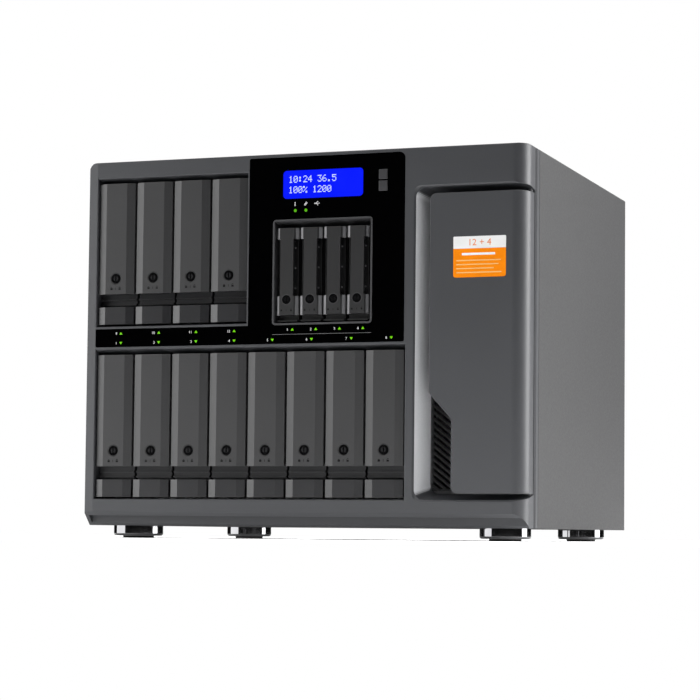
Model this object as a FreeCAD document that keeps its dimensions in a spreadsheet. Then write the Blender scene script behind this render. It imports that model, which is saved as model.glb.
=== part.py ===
import FreeCAD, Part
import os
import Sketcher
from FreeCAD import Placement, Rotation, Vector

# Desktop disk shelf: 12 bays for 3.5 inch drives, 4 bays for 2.5 inch drives.
# Frame: X to the right seen from the front, Y from front to back, Z up.
# Origin: middle of the footprint, on the floor. Millimetres.

doc = FreeCAD.newDocument("disk_shelf")
sheet = doc.addObject("Spreadsheet::Sheet", "dims")

SIZES = [
    # case
    ("case_w", 369.89, "overall width"),
    ("case_d", 319.80, "overall depth"),
    ("case_top", 303.84, "overall height, feet included"),
    ("foot_rise", 10.0, "height of the case floor above the ground"),
    ("sheet_t", 1.2, "sheet steel thickness"),
    ("top_rad", 6.7, "radius of the long top edge on the left"),
    ("top_break", 1.3, "radius of the long top edge on the right"),
    ("corner_rad", 12.0, "radius of the front right upright edge"),
    ("bezel_d", 33.9, "depth of the moulded front"),
    ("seam", 0.8, "shadow gap between the moulded front and the steel cover"),
    ("wall", 2.7, "wall of the moulded front"),
    ("face_t", 4.0, "thickness of the moulded front's face"),
    ("sill_z", 20.8, "height where the lower chamfer starts"),
    # windows of the moulded front
    ("win_l", -176.7, "left edge of both tray windows"),
    ("win_low_r", 87.65, "right edge of the lower tray window"),
    ("win_up_r", -45.2, "right edge of the upper tray window"),
    ("win_low_b", 31.1, "bottom of the lower tray window"),
    ("win_up_b", 170.0, "bottom of the upper tray window"),
    ("lip_drop", 3.0, "drop of the sloped lip over the trays"),
    ("lip_d", 10.0, "depth of the sloped lip"),
    ("rim", 0.5, "broken edge around the windows and the door"),
    # 3.5 inch trays
    ("hdd_pitch", 32.95, "tray pitch"),
    ("hdd_first", -160.0, "centre of the first tray"),
    ("hdd_w", 31.0, "tray face width"),
    ("hdd_tall", 114.35, "tray face height"),
    ("hdd_low_z", 32.75, "bottom of the lower tray faces"),
    ("hdd_up_z", 171.8, "bottom of the upper tray faces"),
    ("hdd_block", 13.95, "height of the fixed block under the lever"),
    ("hdd_grip", 24.55, "height of the lever's lower edge"),
    ("hdd_cham_w", 6.5, "width of the tray's side chamfer"),
    ("hdd_cham_d", 2.0, "depth of the tray's side chamfer"),
    ("hdd_pivot_y", -154.9, "lever pivot"),
    ("hdd_pivot_z", 110.25, "lever pivot above the tray's bottom"),
    ("hdd_pin_r", 1.0, "lever pin radius"),
    ("hdd_rear", 0.0, "rear end of the tray rails"),
    ("hdd_lock_z", 37.15, "lock centre above the tray's bottom"),
    ("lever_in", 0.1, "set-back of the levers behind the moulded front"),
    ("lock_rad", 3.75, "radius of the lock's hole"),
    # 2.5 inch trays
    ("ssd_pitch", 19.65, "tray pitch"),
    ("ssd_first", -11.45, "centre of the first tray"),
    ("ssd_w", 18.0, "tray face width"),
    ("ssd_tall", 68.75, "tray face height"),
    ("ssd_z", 176.1, "bottom of the tray faces"),
    ("ssd_bar_w", 11.0, "width of the lever's bar"),
    ("ssd_bar_t", 2.5, "thickness of the lever's bar"),
    ("ssd_cham", 2.95, "side chamfer of the lever's head and foot"),
    ("ssd_pivot_y", -156.3, "lever pivot"),
    ("ssd_pivot_z", 65.75, "lever pivot above the tray's bottom"),
    ("ssd_pin_r", 0.7, "lever pin radius"),
    ("ssd_rear", -49.0, "rear end of the tray rails"),
    # display
    ("glass_t", 1.8, "thickness of the display window"),
    ("glass_in", 0.4, "set-back of the display window"),
    ("glass_l", -44.0, "left edge of the tall part of the window"),
    ("glass_r", 86.7, "right edge of the window"),
    ("glass_b", 153.3, "bottom of the window"),
    ("glass_arm", 168.1, "top of the window's low arm"),
    ("glass_top", 301.2, "top of the window"),
    # door
    ("door_l", 107.0, "left edge of the door"),
    ("door_step", 125.2, "left edge of the door's narrow lower part"),
    ("door_b", 36.1, "bottom of the door"),
    ("door_top", 267.7, "top of the door"),
    ("door_t", 2.6, "door skin"),
    ("hinge_x", 181.945, "door hinge axis"),
    ("hinge_y", -140.5, "door hinge axis"),
    ("hinge_r", 3.0, "door hinge barrel radius"),
    ("recess_back", -136.8, "back of the door recess"),
    # rear
    ("fan_x", -100.0, "axis of both fans"),
    ("fan_low_z", 86.0, "lower fan axis"),
    ("fan_up_z", 218.0, "upper fan axis"),
    ("fan_size", 120.0, "fan frame"),
    ("fan_holes", 105.0, "fan hole spacing"),
    ("psu_l", 94.0, "left side of the power supply"),
    ("psu_w", 86.0, "width of the power supply"),
    ("psu_tall", 150.0, "height of the power supply"),
    ("psu_d", 140.0, "depth of the power supply"),
    # feet
    ("foot_x", 156.5, "foot centre, sideways"),
    ("foot_y", 117.0, "foot centre, fore and aft"),
    ("foot_rad", 20.0, "foot ring radius"),
    ("pad_rad", 12.5, "foot pad radius"),
]


class Q:
    """A size: its number, and the expression that binds it to the sheet."""

    def __init__(self, v, s=None):
        self.v = float(v)
        self.s = ("%.6g" % v) if s is None else s

    def __add__(self, o):
        o = q(o)
        return Q(self.v + o.v, "(%s + %s)" % (self.s, o.s))

    __radd__ = __add__

    def __sub__(self, o):
        o = q(o)
        return Q(self.v - o.v, "(%s - (%s))" % (self.s, o.s))

    def __rsub__(self, o):
        return q(o) - self

    def __mul__(self, o):
        o = q(o)
        return Q(self.v * o.v, "(%s * (%s))" % (self.s, o.s))

    __rmul__ = __mul__

    def __truediv__(self, o):
        o = q(o)
        return Q(self.v / o.v, "(%s / (%s))" % (self.s, o.s))

    def __neg__(self):
        return Q(-self.v, "(-1 * %s)" % self.s)


def q(x):
    return x if isinstance(x, Q) else Q(x)


class Dims:
    pass


d = Dims()
for row, (alias, value, note) in enumerate(SIZES, 1):
    sheet.set("A%d" % row, note)
    sheet.set("B%d" % row, repr(float(value)))
    sheet.setAlias("B%d" % row, alias)
    setattr(d, alias, Q(value, "dims." + alias))
doc.recompute()

half_w = d.case_w / 2
front = -d.case_d / 2
back = d.case_d / 2
bezel_back = front + d.bezel_d


def bind(obj, prop, size):
    size = q(size)
    if "dims." in size.s:
        obj.setExpression(prop, size.s)
        return True
    return False


def place(obj, x=0, y=0, z=0, rot=None):
    x, y, z = q(x), q(y), q(z)
    obj.Placement = Placement(Vector(x.v, y.v, z.v), rot or Rotation())
    bind(obj, "Placement.Base.x", x)
    bind(obj, "Placement.Base.y", y)
    bind(obj, "Placement.Base.z", z)
    return obj


def box(name, lo, hi):
    lo, hi = [q(a) for a in lo], [q(a) for a in hi]
    o = doc.addObject("Part::Box", name)
    for prop, a, b in zip(("Length", "Width", "Height"), lo, hi):
        setattr(o, prop, b.v - a.v)
        bind(o, prop, b - a)
    return place(o, *lo)


TURN = {"X": Rotation(Vector(0, 1, 0), 90), "Y": Rotation(Vector(1, 0, 0), -90), "Z": Rotation()}


def cyl(name, axis, at, rad, length):
    """Cylinder from the point at, along +axis."""
    o = doc.addObject("Part::Cylinder", name)
    rad, length = q(rad), q(length)
    o.Radius, o.Height = rad.v, length.v
    bind(o, "Radius", rad)
    bind(o, "Height", length)
    return place(o, *at, rot=TURN[axis])


def fuse(name, parts):
    o = doc.addObject("Part::MultiFuse", name)
    o.Shapes = parts
    o.Refine = True
    return o


def group(name, parts):
    o = doc.addObject("Part::Compound", name)
    o.Links = parts
    return o


def cut(name, base, tools):
    o = doc.addObject("Part::Cut", name)
    o.Base = base
    o.Tool = tools[0] if len(tools) == 1 else group(name + "_tools", tools)
    o.Refine = True
    return o


def common(name, a, b):
    o = doc.addObject("Part::Common", name)
    o.Base, o.Tool = a, b
    return o


def near(a, b, tol=0.02):
    return abs(a - b) < tol


def pick(shape, **want):
    """Numbers of the straight edges whose two ends both lie at the wanted x, y or z."""
    found = []
    for i, e in enumerate(shape.Edges, 1):
        if len(e.Vertexes) != 2:
            continue
        ok = True
        for key, val in want.items():
            vals = val if isinstance(val, (list, tuple)) else [val]
            for v in e.Vertexes:
                c = getattr(v.Point, key)
                if not any(near(c, q(w).v) for w in vals):
                    ok = False
        a, b = e.Vertexes[0].Point, e.Vertexes[1].Point
        if ok and (a - b).Length > 0.5:
            found.append(i)
    return found


def round_edges(name, base, picks):
    """picks: list of (radius, {axis: value, ...})."""
    doc.recompute()
    o = doc.addObject("Part::Fillet", name)
    o.Base = base
    edges = []
    for rad, want in picks:
        ids = pick(base.Shape, **want)
        if not ids:
            raise RuntimeError("no edge for %s %s" % (name, want))
        edges += [(i, q(rad).v, q(rad).v) for i in ids]
    o.Edges = edges
    return o


def break_edges(name, base, size, test):
    """45 degree break of every edge that passes the test."""
    doc.recompute()
    o = doc.addObject("Part::Chamfer", name)
    o.Base = base
    ids = [i for i, e in enumerate(base.Shape.Edges, 1) if test(e)]
    if not ids:
        raise RuntimeError("no edge for %s" % name)
    o.Edges = [(i, q(size).v, q(size).v) for i in ids]
    return o


PLANE = {
    "XY": ("XY_Plane", Rotation(), Vector(0, 0, 1)),
    "XZ": ("XZ_Plane", Rotation(Vector(1, 0, 0), 90), Vector(0, 1, 0)),
    "YZ": ("YZ_Plane", Rotation(Vector(1, 1, 1), 120), Vector(1, 0, 0)),
}


def draw(sk, pts=None, circle=None):
    """Closed outline through pts, or a circle (u, v, radius), all sizes constrained."""
    if circle is not None:
        u, v, rad = [q(a) for a in circle]
        g = sk.addGeometry(Part.Circle(Vector(u.v, v.v, 0), Vector(0, 0, 1), rad.v), False)
        c = sk.addConstraint(Sketcher.Constraint("Radius", g, rad.v))
        if "dims." in rad.s:
            sk.setExpression("Constraints[%d]" % c, rad.s)
        ends = [(u, "DistanceX"), (v, "DistanceY")]
        if near(u.v, 0, 1e-9) and near(v.v, 0, 1e-9):
            sk.addConstraint(Sketcher.Constraint("Coincident", g, 3, -1, 1))
            ends = []
        for val, kind in ends:
            if near(val.v, 0, 1e-9):
                sk.addConstraint(Sketcher.Constraint("PointOnObject", g, 3, -2 if kind == "DistanceX" else -1))
                continue
            c = sk.addConstraint(Sketcher.Constraint(kind, -1, 1, g, 3, val.v))
            if "dims." in val.s:
                sk.setExpression("Constraints[%d]" % c, val.s)
        return
    pts = [(q(a), q(b)) for a, b in pts]
    n = len(pts)
    first = None
    for i in range(n):
        a, b = pts[i], pts[(i + 1) % n]
        g = sk.addGeometry(Part.LineSegment(Vector(a[0].v, a[1].v, 0), Vector(b[0].v, b[1].v, 0)), False)
        first = g if first is None else first
    for i in range(n):
        sk.addConstraint(Sketcher.Constraint("Coincident", first + i, 2, first + (i + 1) % n, 1))
    for i, (a, b) in enumerate(pts):
        for val, kind in ((a, "DistanceX"), (b, "DistanceY")):
            if near(val.v, 0, 1e-9):
                sk.addConstraint(Sketcher.Constraint("PointOnObject", first + i, 1, -2 if kind == "DistanceX" else -1))
                continue
            c = sk.addConstraint(Sketcher.Constraint(kind, -1, 1, first + i, 1, val.v))
            if "dims." in val.s:
                sk.setExpression("Constraints[%d]" % c, val.s)


def prism(name, plane, pts, a0, a1):
    """Sketch extruded along the plane's third axis, from a0 to a1."""
    a0, a1 = q(a0), q(a1)
    sk = doc.addObject("Sketcher::SketchObject", name + "_profile")
    normal = PLANE[plane][2]
    off = normal * a0.v
    sk.Placement = Placement(off, PLANE[plane][1])
    bind(sk, "Placement.Base.%s" % {"XY": "z", "XZ": "y", "YZ": "x"}[plane], a0)
    draw(sk, pts)
    o = doc.addObject("Part::Extrusion", name)
    o.Base = sk
    o.DirMode = "Custom"
    o.Dir = normal
    o.Solid = True
    o.LengthFwd = a1.v - a0.v
    bind(o, "LengthFwd", a1 - a0)
    return o


def wedge(name, y0, lo0, hi0, y1, lo1, hi1):
    """Frustum along Y: X-Z rectangle lo0..hi0 at y0 and lo1..hi1 at y1."""
    o = doc.addObject("Part::Wedge", name)
    vals = {"Xmin": lo0[0], "Xmax": hi0[0], "Zmin": lo0[1], "Zmax": hi0[1], "Ymin": y0, "Ymax": y1,
            "X2min": lo1[0], "X2max": hi1[0], "Z2min": lo1[1], "Z2max": hi1[1]}
    for key, val in vals.items():
        val = q(val)
        setattr(o, key, val.v)
        bind(o, key, val)
    return o


# ---------------------------------------------------------------- PartDesign helpers

def body(name):
    return doc.addObject("PartDesign::Body", name)


def feature(b, kind, name, plane, a0, a1, pts=None, circle=None):
    """Pad or Pocket of body b along +third axis of the plane, from a0 to a1."""
    a0, a1 = q(a0), q(a1)
    sk = b.newObject("Sketcher::SketchObject", name + "_sketch")
    role = PLANE[plane][0]
    support = [f for f in b.Origin.OriginFeatures if f.Role == role][0]
    sk.AttachmentSupport = (support, [""])
    sk.MapMode = "FlatFace"
    off = -a0 if plane == "XZ" else a0
    sk.AttachmentOffset = Placement(Vector(0, 0, off.v), Rotation())
    bind(sk, "AttachmentOffset.Base.z", off)
    draw(sk, pts, circle)
    f = b.newObject("PartDesign::" + kind, name)
    f.Profile = sk
    f.Length = a1.v - a0.v
    bind(f, "Length", a1 - a0)
    along = plane != "XZ"
    f.Reversed = (not along) if kind == "Pad" else along
    sk.Visibility = False
    return f


def rect(x0, z0, x1, z1):
    return [(x0, z0), (x1, z0), (x1, z1), (x0, z1)]


def copy_at(name, master, x=0, y=0, z=0):
    """A placed instance of a master shape."""
    o = group(name, [master])
    return place(o, x, y, z)


nodes = []


def keep(obj, label):
    obj.Label = label
    nodes.append((label, obj))
    return obj


# ---------------------------------------------------------------- moulded front

# Outline: a rounded long top edge on the left, a crisp one on the right, one large upright radius at the front right.
long_shape = round_edges("bezel_long", box("bezel_long_box", (-half_w, front, d.foot_rise), (half_w, bezel_back, d.case_top)),
                         [(d.top_break, {"z": d.case_top, "x": half_w}), (d.top_rad, {"z": d.case_top, "x": -half_w})])
tall_shape = round_edges("bezel_tall", box("bezel_tall_box", (-half_w, front, 0), (half_w, back, d.case_top + 20)),
                         [(d.corner_rad, {"x": half_w, "y": front}), (1.5, {"x": -half_w, "y": front})])
bezel_outer = common("bezel_outer", long_shape, tall_shape)

# Inside: hollow from the back.
hollow_long = round_edges("hollow_long", box("hollow_long_box", (-half_w + d.wall, front + d.face_t, d.foot_rise + d.wall),
                                             (half_w - d.wall, bezel_back + 1, d.case_top - d.wall)),
                          [(4.0, {"z": d.case_top - d.wall, "x": half_w - d.wall}),
                           (4.0, {"z": d.case_top - d.wall, "x": -half_w + d.wall}),
                           (9.3, {"x": half_w - d.wall, "y": front + d.face_t})])
# the lower chamfer is 45 degrees: y + z is constant on it
chamfer_run = d.sill_z - d.foot_rise
hollow_guard = prism("hollow_guard", "YZ",
                     [(front - 1, d.foot_rise - 2), (front + chamfer_run + 12, d.foot_rise - 2),
                      (front - 1, d.sill_z + 11)], -half_w - 2, half_w + 2)
hollow = cut("hollow", hollow_long, [hollow_guard])
shell = cut("bezel_shell", bezel_outer, [hollow])

# Tunnel walls around the two tray windows, and the pan of the door recess.
low_top = d.hdd_low_z + d.hdd_tall + 4.5
up_top = d.hdd_up_z + d.hdd_tall + 4.45
tunnel_low = box("tunnel_low", (d.win_l - 2, front + d.face_t - 0.5, d.win_low_b - 2), (d.win_low_r + 2, bezel_back - 0.5, low_top + 1.4))
tunnel_up = box("tunnel_up", (d.win_l - 2, front + d.face_t - 0.5, d.win_up_b - 2), (d.win_up_r + 2, bezel_back - 0.5, up_top + 1.5))
pan_block = wedge("pan_block", front, (92.6, 28.3), (half_w, 275.7), d.recess_back + 2.4, (99.6, 33.8), (half_w, 272.2))
pan_clip = common("pan_clip", pan_block, tall_shape)
boss_top = cyl("hinge_boss_top", "Z", (d.hinge_x, d.hinge_y, 271.2), 2.9, 6)
boss_low = cyl("hinge_boss_low", "Z", (d.hinge_x, d.hinge_y, 27.0), 2.9, 6)
bezel_solid = fuse("bezel_solid", [shell, tunnel_low, tunnel_up, pan_clip, boss_top, boss_low])

# What is cut out of it.
win_low = box("win_low", (d.win_l, front - 1, d.win_low_b), (d.win_low_r, bezel_back + 1, low_top - d.lip_drop))
win_low_lip = prism("win_low_lip", "YZ",
                    [(front - 1, low_top - d.lip_drop - 5), (front + d.lip_d, low_top - d.lip_drop - 5),
                     (front + d.lip_d, low_top - d.lip_drop), (front, low_top), (front - 1, low_top)],
                    d.win_l, d.win_low_r)
rim_low = wedge("rim_low", front - 0.2, (d.win_l - d.rim - 0.2, d.win_low_b - d.rim - 0.2), (d.win_low_r + d.rim + 0.2, low_top + d.rim + 0.2),
                front + d.rim + 0.2, (d.win_l + 0.2, d.win_low_b + 0.2), (d.win_low_r - 0.2, low_top - 0.2))
cut_low = fuse("cut_low", [win_low, win_low_lip, rim_low])
win_up = box("win_up", (d.win_l, front - 1, d.win_up_b), (d.win_up_r, bezel_back + 1, up_top - d.lip_drop))
win_up_lip = prism("win_up_lip", "YZ",
                   [(front - 1, up_top - d.lip_drop - 5), (front + d.lip_d, up_top - d.lip_drop - 5),
                    (front + d.lip_d, up_top - d.lip_drop), (front, up_top), (front - 1, up_top)],
                   d.win_l, d.win_up_r)
rim_up = wedge("rim_up", front - 0.2, (d.win_l - d.rim - 0.2, d.win_up_b - d.rim - 0.2), (d.win_up_r + d.rim + 0.2, up_top + d.rim + 0.2),
               front + d.rim + 0.2, (d.win_l + 0.2, d.win_up_b + 0.2), (d.win_up_r - 0.2, up_top - 0.2))
cut_up = fuse("cut_up", [win_up, win_up_lip, rim_up])

chamfer = prism("foot_chamfer", "YZ",
                [(front - 1, d.foot_rise - 1), (front + chamfer_run + 1, d.foot_rise - 1), (front - 1, d.sill_z + 1)],
                -half_w - 2, half_w + 2)
# Channel in the chamfer: it follows the case outline 2.9 mm inside it, and its back wall stands upright.
channel = round_edges("channel", box("channel_box", (-half_w + 2.9, front + 2.9, d.foot_rise + 1.7), (half_w - 1.1, front + chamfer_run - 1.7, d.foot_rise + 7.9)),
                      [(5.9, {"x": half_w - 1.1, "y": front + 2.9})])

recess = round_edges("door_recess", wedge("recess_block", front - 1, (94.72, 30.47), (200, 273.45),
                                           d.recess_back, (101.5, 36.0), (200, 269.9)),
                     [(8.5, {"x": [94.72, 101.5], "z": [273.45, 269.9]}), (8.5, {"x": [94.72, 101.5], "z": [30.47, 36.0]})])

recess_rim = round_edges("recess_rim", wedge("recess_rim_block", front - 0.5, (93.4, 29.1), (200, 274.9),
                                             front + 1.2, (95.1, 30.8), (200, 273.2)),
                         [(9.5, {"x": [93.4, 95.1], "z": [274.9, 273.2]}), (9.5, {"x": [93.4, 95.1], "z": [29.1, 30.8]})])
pocket_pts = [(d.win_l - 0.5, d.glass_b), (d.glass_r, d.glass_b), (d.glass_r, d.glass_top),
              (d.glass_l, d.glass_top), (d.glass_l, d.glass_arm), (d.win_l - 0.5, d.glass_arm)]
glass_front = front + d.glass_in
glass_back = glass_front + d.glass_t
pocket = round_edges("glass_pocket", prism("glass_pocket_block", "XZ", pocket_pts, front - 1, glass_back),
                     [(5.0, {"x": d.glass_r, "z": d.glass_top}), (1.5, {"x": d.glass_r, "z": d.glass_b}),
                      (1.5, {"x": d.win_l - 0.5, "z": d.glass_b}), (1.0, {"x": d.win_l - 0.5, "z": d.glass_arm}),
                      (1.5, {"x": d.glass_l, "z": d.glass_top})])


def opening(name, x0, z0, x1, z1, rad):
    return round_edges(name, box(name + "_box", (x0, front - 2, z0), (x1, front + 8, z1)),
                       [(rad, {"x": [x0], "z": [z0]}), (rad, {"x": [x1], "z": [z0]}),
                        (rad, {"x": [x0], "z": [z1]}), (rad, {"x": [x1], "z": [z1]})])


ssd_hole = opening("ssd_hole", -23.5, 168.12, 60.1, 251.7, 2.9)
lcd_hole = opening("lcd_hole", -15.3, 268.0, 51.8, 290.3, 3.1)
enter_hole = opening("enter_hole", 64.7, 280.4, 72.1, 288.35, 0.3)
select_hole = opening("select_hole", 64.7, 271.2, 72.1, 279.45, 0.3)
led_hole_1 = cyl("led_hole_1", "Y", (-4.8, front - 2, 258.5), 1.25, 10)
led_hole_2 = cyl("led_hole_2", "Y", (4.1, front - 2, 258.5), 1.25, 10)
pierced = [ssd_hole, lcd_hole, enter_hole, select_hole, led_hole_1, led_hole_2]

pin_bore = cyl("pin_bore", "Z", (d.hinge_x, d.hinge_y, 26.0), 1.56, 252)
button_bore = cyl("button_bore", "Y", (140.0, d.recess_back - 1, 246.0), 8.2, 5)
intake_hole = box("intake_hole", (104.7, d.recess_back - 1, 39.9), (175.6, d.recess_back + 4, 220))
top_break = prism("top_break", "YZ", [(front - 1, d.case_top - 0.7 - 1), (front - 1, d.case_top + 1), (front + 1.7, d.case_top + 1)],
                  -half_w - 2, half_w + 2)
side_bevel = prism("side_bevel", "XY", [(d.win_l - 0.7, front), (-half_w - 0.5, front + 0.75), (-half_w - 0.5, front - 1), (d.win_l - 0.7, front - 1)],
                   d.foot_rise - 1, d.case_top + 1)
# Upright groove just ahead of the steel cover: a shallow fall and a 45 degree facet.
side_groove = prism("side_groove", "XY", [(half_w + 0.4, -139.2), (half_w - 1.6, -133.6), (half_w + 0.4, -131.6)], d.foot_rise - 1, d.case_top + 1)
bezel = bezel_solid
for i, tool in enumerate([side_bevel, side_groove, cut_low, cut_up, chamfer, channel, recess, recess_rim, pocket, group("pierced", pierced),
                          group("bores", [pin_bore, button_bore, intake_hole]), top_break]):
    bezel = cut("bezel_cut_%d" % i, bezel, [tool])
keep(bezel, "front_bezel")

# ---------------------------------------------------------------- display

glass_pts = [(d.win_l - 0.4, d.glass_b + 0.1), (d.glass_r - 0.1, d.glass_b + 0.1), (d.glass_r - 0.1, d.glass_top - 0.1),
             (d.glass_l + 0.1, d.glass_top - 0.1), (d.glass_l + 0.1, d.glass_arm - 0.1), (d.win_l - 0.4, d.glass_arm - 0.1)]
glass_block = round_edges("glass_block", prism("glass_plate", "XZ", glass_pts, glass_front, glass_back),
                          [(4.9, {"x": d.glass_r - 0.1, "z": d.glass_top - 0.1}), (1.4, {"x": d.glass_r - 0.1, "z": d.glass_b + 0.1}),
                           (1.4, {"x": d.win_l - 0.4, "z": d.glass_b + 0.1}), (0.9, {"x": d.win_l - 0.4, "z": d.glass_arm - 0.1}),
                           (1.4, {"x": d.glass_l + 0.1, "z": d.glass_top - 0.1})])
keep(cut("glass", glass_block, [group("glass_holes", pierced)]), "display_window")

lcd_face = round_edges("lcd_face", box("lcd_block", (-15.2, front + 0.45, 268.1), (51.7, front + 10, 290.2)),
                       [(3.0, {"x": [-15.2], "z": [268.1]}), (3.0, {"x": [51.7], "z": [268.1]}),
                        (3.0, {"x": [-15.2], "z": [290.2]}), (3.0, {"x": [51.7], "z": [290.2]})])
lcd_board = box("lcd_board", (-22, front + 9.5, 262), (60, front + 11.1, 296))
keep(fuse("lcd", [lcd_face, lcd_board]), "lcd_module")
keep(group("lights", [cyl("led_1", "Y", (-4.8, front + 0.35, 258.5), 1.2, 5), cyl("led_2", "Y", (4.1, front + 0.35, 258.5), 1.2, 5)]),
     "status_lights")


def panel_button(label, z0, z1):
    """Square key: a cap through the window, with a wider foot behind the face."""
    b = body(label + "_body")
    feature(b, "Pad", label + "_cap", "XZ", front, front + 4.6, rect(64.85, z0, 71.95, z1))
    feature(b, "Pad", label + "_foot", "XZ", front + 4.2, front + 5.4, rect(63.9, z0 - 0.4, 72.9, z1 + 0.4))
    doc.recompute()
    tip = b.Tip
    edges = ["Edge%d" % i for i in pick(tip.Shape, y=front)]
    c = b.newObject("PartDesign::Chamfer", label + "_edge")
    c.Base = (tip, edges)
    c.Size = 0.4
    return keep(b, label)


panel_button("enter_button", 280.55, 288.2)
panel_button("select_button", 271.35, 279.3)

# ---------------------------------------------------------------- surround of the 2.5 inch bay

sur_block = round_edges("surround_block", box("surround_box", (-23.4, front, 168.2), (60.0, bezel_back - 1, 251.6)),
                        [(2.8, {"x": [-23.4], "z": [168.2]}), (2.8, {"x": [60.0], "z": [168.2]}),
                         (2.8, {"x": [-23.4], "z": [251.6]}), (2.8, {"x": [60.0], "z": [251.6]})])
sur_tunnel = box("surround_tunnel", (-22.0, front - 1, 169.6), (58.6, bezel_back, 247.0))
sur_lip = prism("surround_lip", "YZ", [(front - 1, 240.0), (front + 13, 240.0), (front + 13, 247.0), (front, 250.4), (front - 1, 250.4)], -22.0, 58.6)
sur_inner = round_edges("surround_inner", fuse("surround_hole", [sur_tunnel, sur_lip]), [(1.5, {"x": [-22.0], "z": [169.6]}), (1.5, {"x": [58.6], "z": [169.6]})])
keep(cut("surround", sur_block, [sur_inner]), "ssd_bay_surround")

# ---------------------------------------------------------------- door

outline = [(d.door_l, 113.4), (d.door_step, 93.0), (d.door_step, d.door_b), (half_w + 5, d.door_b),
           (half_w + 5, d.door_top), (d.door_l, d.door_top)]
door_out = round_edges("door_outline", prism("door_outline_block", "XZ", outline, front - 2, d.hinge_y + 1),
                       [(5.0, {"x": d.door_l, "z": d.door_top}), (5.0, {"x": d.door_step, "z": d.door_b}),
                        (6.0, {"x": d.door_l, "z": 113.4}), (6.0, {"x": d.door_step, "z": 93.0})])
inset = [(d.door_l + 2.2, 114.3), (d.door_step + 2.2, 93.9), (d.door_step + 2.2, d.door_b + 2.2), (half_w + 5, d.door_b + 2.2),
         (half_w + 5, d.door_top - 2.2), (d.door_l + 2.2, d.door_top - 2.2)]
door_in = round_edges("door_inset", prism("door_inset_block", "XZ", inset, front - 2, d.hinge_y + 2),
                      [(3.0, {"x": d.door_l + 2.2, "z": d.door_top - 2.2}), (3.0, {"x": d.door_step + 2.2, "z": d.door_b + 2.2})])
skin_out = round_edges("door_skin_out", box("door_skin_box", (100, front, 20), (half_w, d.hinge_y, 290)),
                       [(d.corner_rad, {"x": half_w, "y": front})])
skin_in = round_edges("door_skin_in", box("door_core_box", (90, front + d.door_t, 10), (half_w - d.door_t, d.hinge_y + 1, 300)),
                      [(d.corner_rad - d.door_t, {"x": half_w - d.door_t, "y": front + d.door_t})])
door_sharp = common("door_sharp", skin_out, door_out)


def on_front_outline(e):
    """Edges of the door's face, and the two arcs where its rounded corner is cut off."""
    pts = [v.Point for v in e.Vertexes]
    mid = e.valueAt((e.FirstParameter + e.LastParameter) / 2)
    if all(near(p.y, front.v) for p in pts + [mid]):
        return not all(near(p.x, (half_w - d.corner_rad).v) for p in pts)
    if isinstance(e.Curve, Part.Circle) and near(e.Curve.Radius, d.corner_rad.v):
        return any(all(near(p.z, zz.v) for p in pts) for zz in (d.door_top, d.door_b))
    return False


door_plate = break_edges("door_plate", door_sharp, d.rim, on_front_outline)
door_core = common("door_core", skin_in, door_in)
door_hollow = cut("door_hollow", door_plate, [door_core])
door_trim = box("door_trim", (90, front + 7.0, 10), (half_w - 5, d.hinge_y + 2, 300))
door_shell = cut("door_shell", door_hollow, [door_trim])
barrel = cyl("hinge_barrel", "Z", (d.hinge_x, d.hinge_y, d.door_b), d.hinge_r, d.door_top - d.door_b)
pin_top = cyl("hinge_pin_top", "Z", (d.hinge_x, d.hinge_y, d.door_top - 1), 1.5, 8.5)
pin_low = cyl("hinge_pin_low", "Z", (d.hinge_x, d.hinge_y, d.door_b - 7.5), 1.5, 8.5)
label_seat = round_edges("label_seat", box("label_seat_box", (126.0, front - 1, 201.5), (168.3, front + 0.2, 233.3)),
                         [(2.0, {"x": [126.0], "z": [201.5]}), (2.0, {"x": [168.3], "z": [201.5]}),
                          (0.8, {"x": [126.0], "z": [233.3]}), (0.8, {"x": [168.3], "z": [233.3]})])
door_marked = cut("door_marked", door_shell, [label_seat])
keep(fuse("door_all", [door_marked, barrel, pin_top, pin_low]), "door")

# Ribbed intake behind the door: slanting ribs over slanting slots.
plate = box("intake_plate", (103.4, d.recess_back - 1.7, 38.4), (177.0, d.recess_back - 0.1, 226))
slots, ribs = [], []
run = 5.2
count = 46
for i in range(count):
    cz = 8 + i * run
    for kind, wide, y0, y1, bag in (("slot", 2.0, d.recess_back - 3, d.recess_back + 1, slots), ("rib", 1.5, d.recess_back - 2.9, d.recess_back - 1.6, ribs)):
        o = doc.addObject("Part::Box", "intake_%s_%d" % (kind, i))
        o.Length, o.Height = 130, wide
        o.Width = (y1 - y0).v
        bind(o, "Width", y1 - y0)
        shift = 0.0 if kind == "slot" else run / 2
        place(o, 90, y0, cz + shift + 42, rot=Rotation(Vector(0, 1, 0), 38))
        bag.append(o)
slot_field = common("slot_field", box("slot_window", (104.5, d.recess_back - 4, 39.7), (175.8, d.recess_back + 2, 219)), group("slot_bars", slots))
rib_field = common("rib_field", box("rib_window", (103.4, d.recess_back - 2.9, 38.4), (177.0, d.recess_back - 1.5, 226)), group("rib_bars", ribs))
keep(cut("intake", fuse("intake_solid", [plate, rib_field]), [slot_field]), "intake_panel")

pb = body("power_button_body")
feature(pb, "Pad", "power_cap", "XZ", d.recess_back - 2.6, d.recess_back + 2.8, circle=(140.0, 246.0, 8.0))
feature(pb, "Pad", "power_foot", "XZ", d.recess_back + 2.6, d.recess_back + 3.8, circle=(140.0, 246.0, 9.6))
feature(pb, "Pocket", "power_dish", "XZ", d.recess_back - 3.0, d.recess_back - 2.2, circle=(140.0, 246.0, 6.4))
keep(pb, "power_button")

# ---------------------------------------------------------------- 3.5 inch tray and lever

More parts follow.
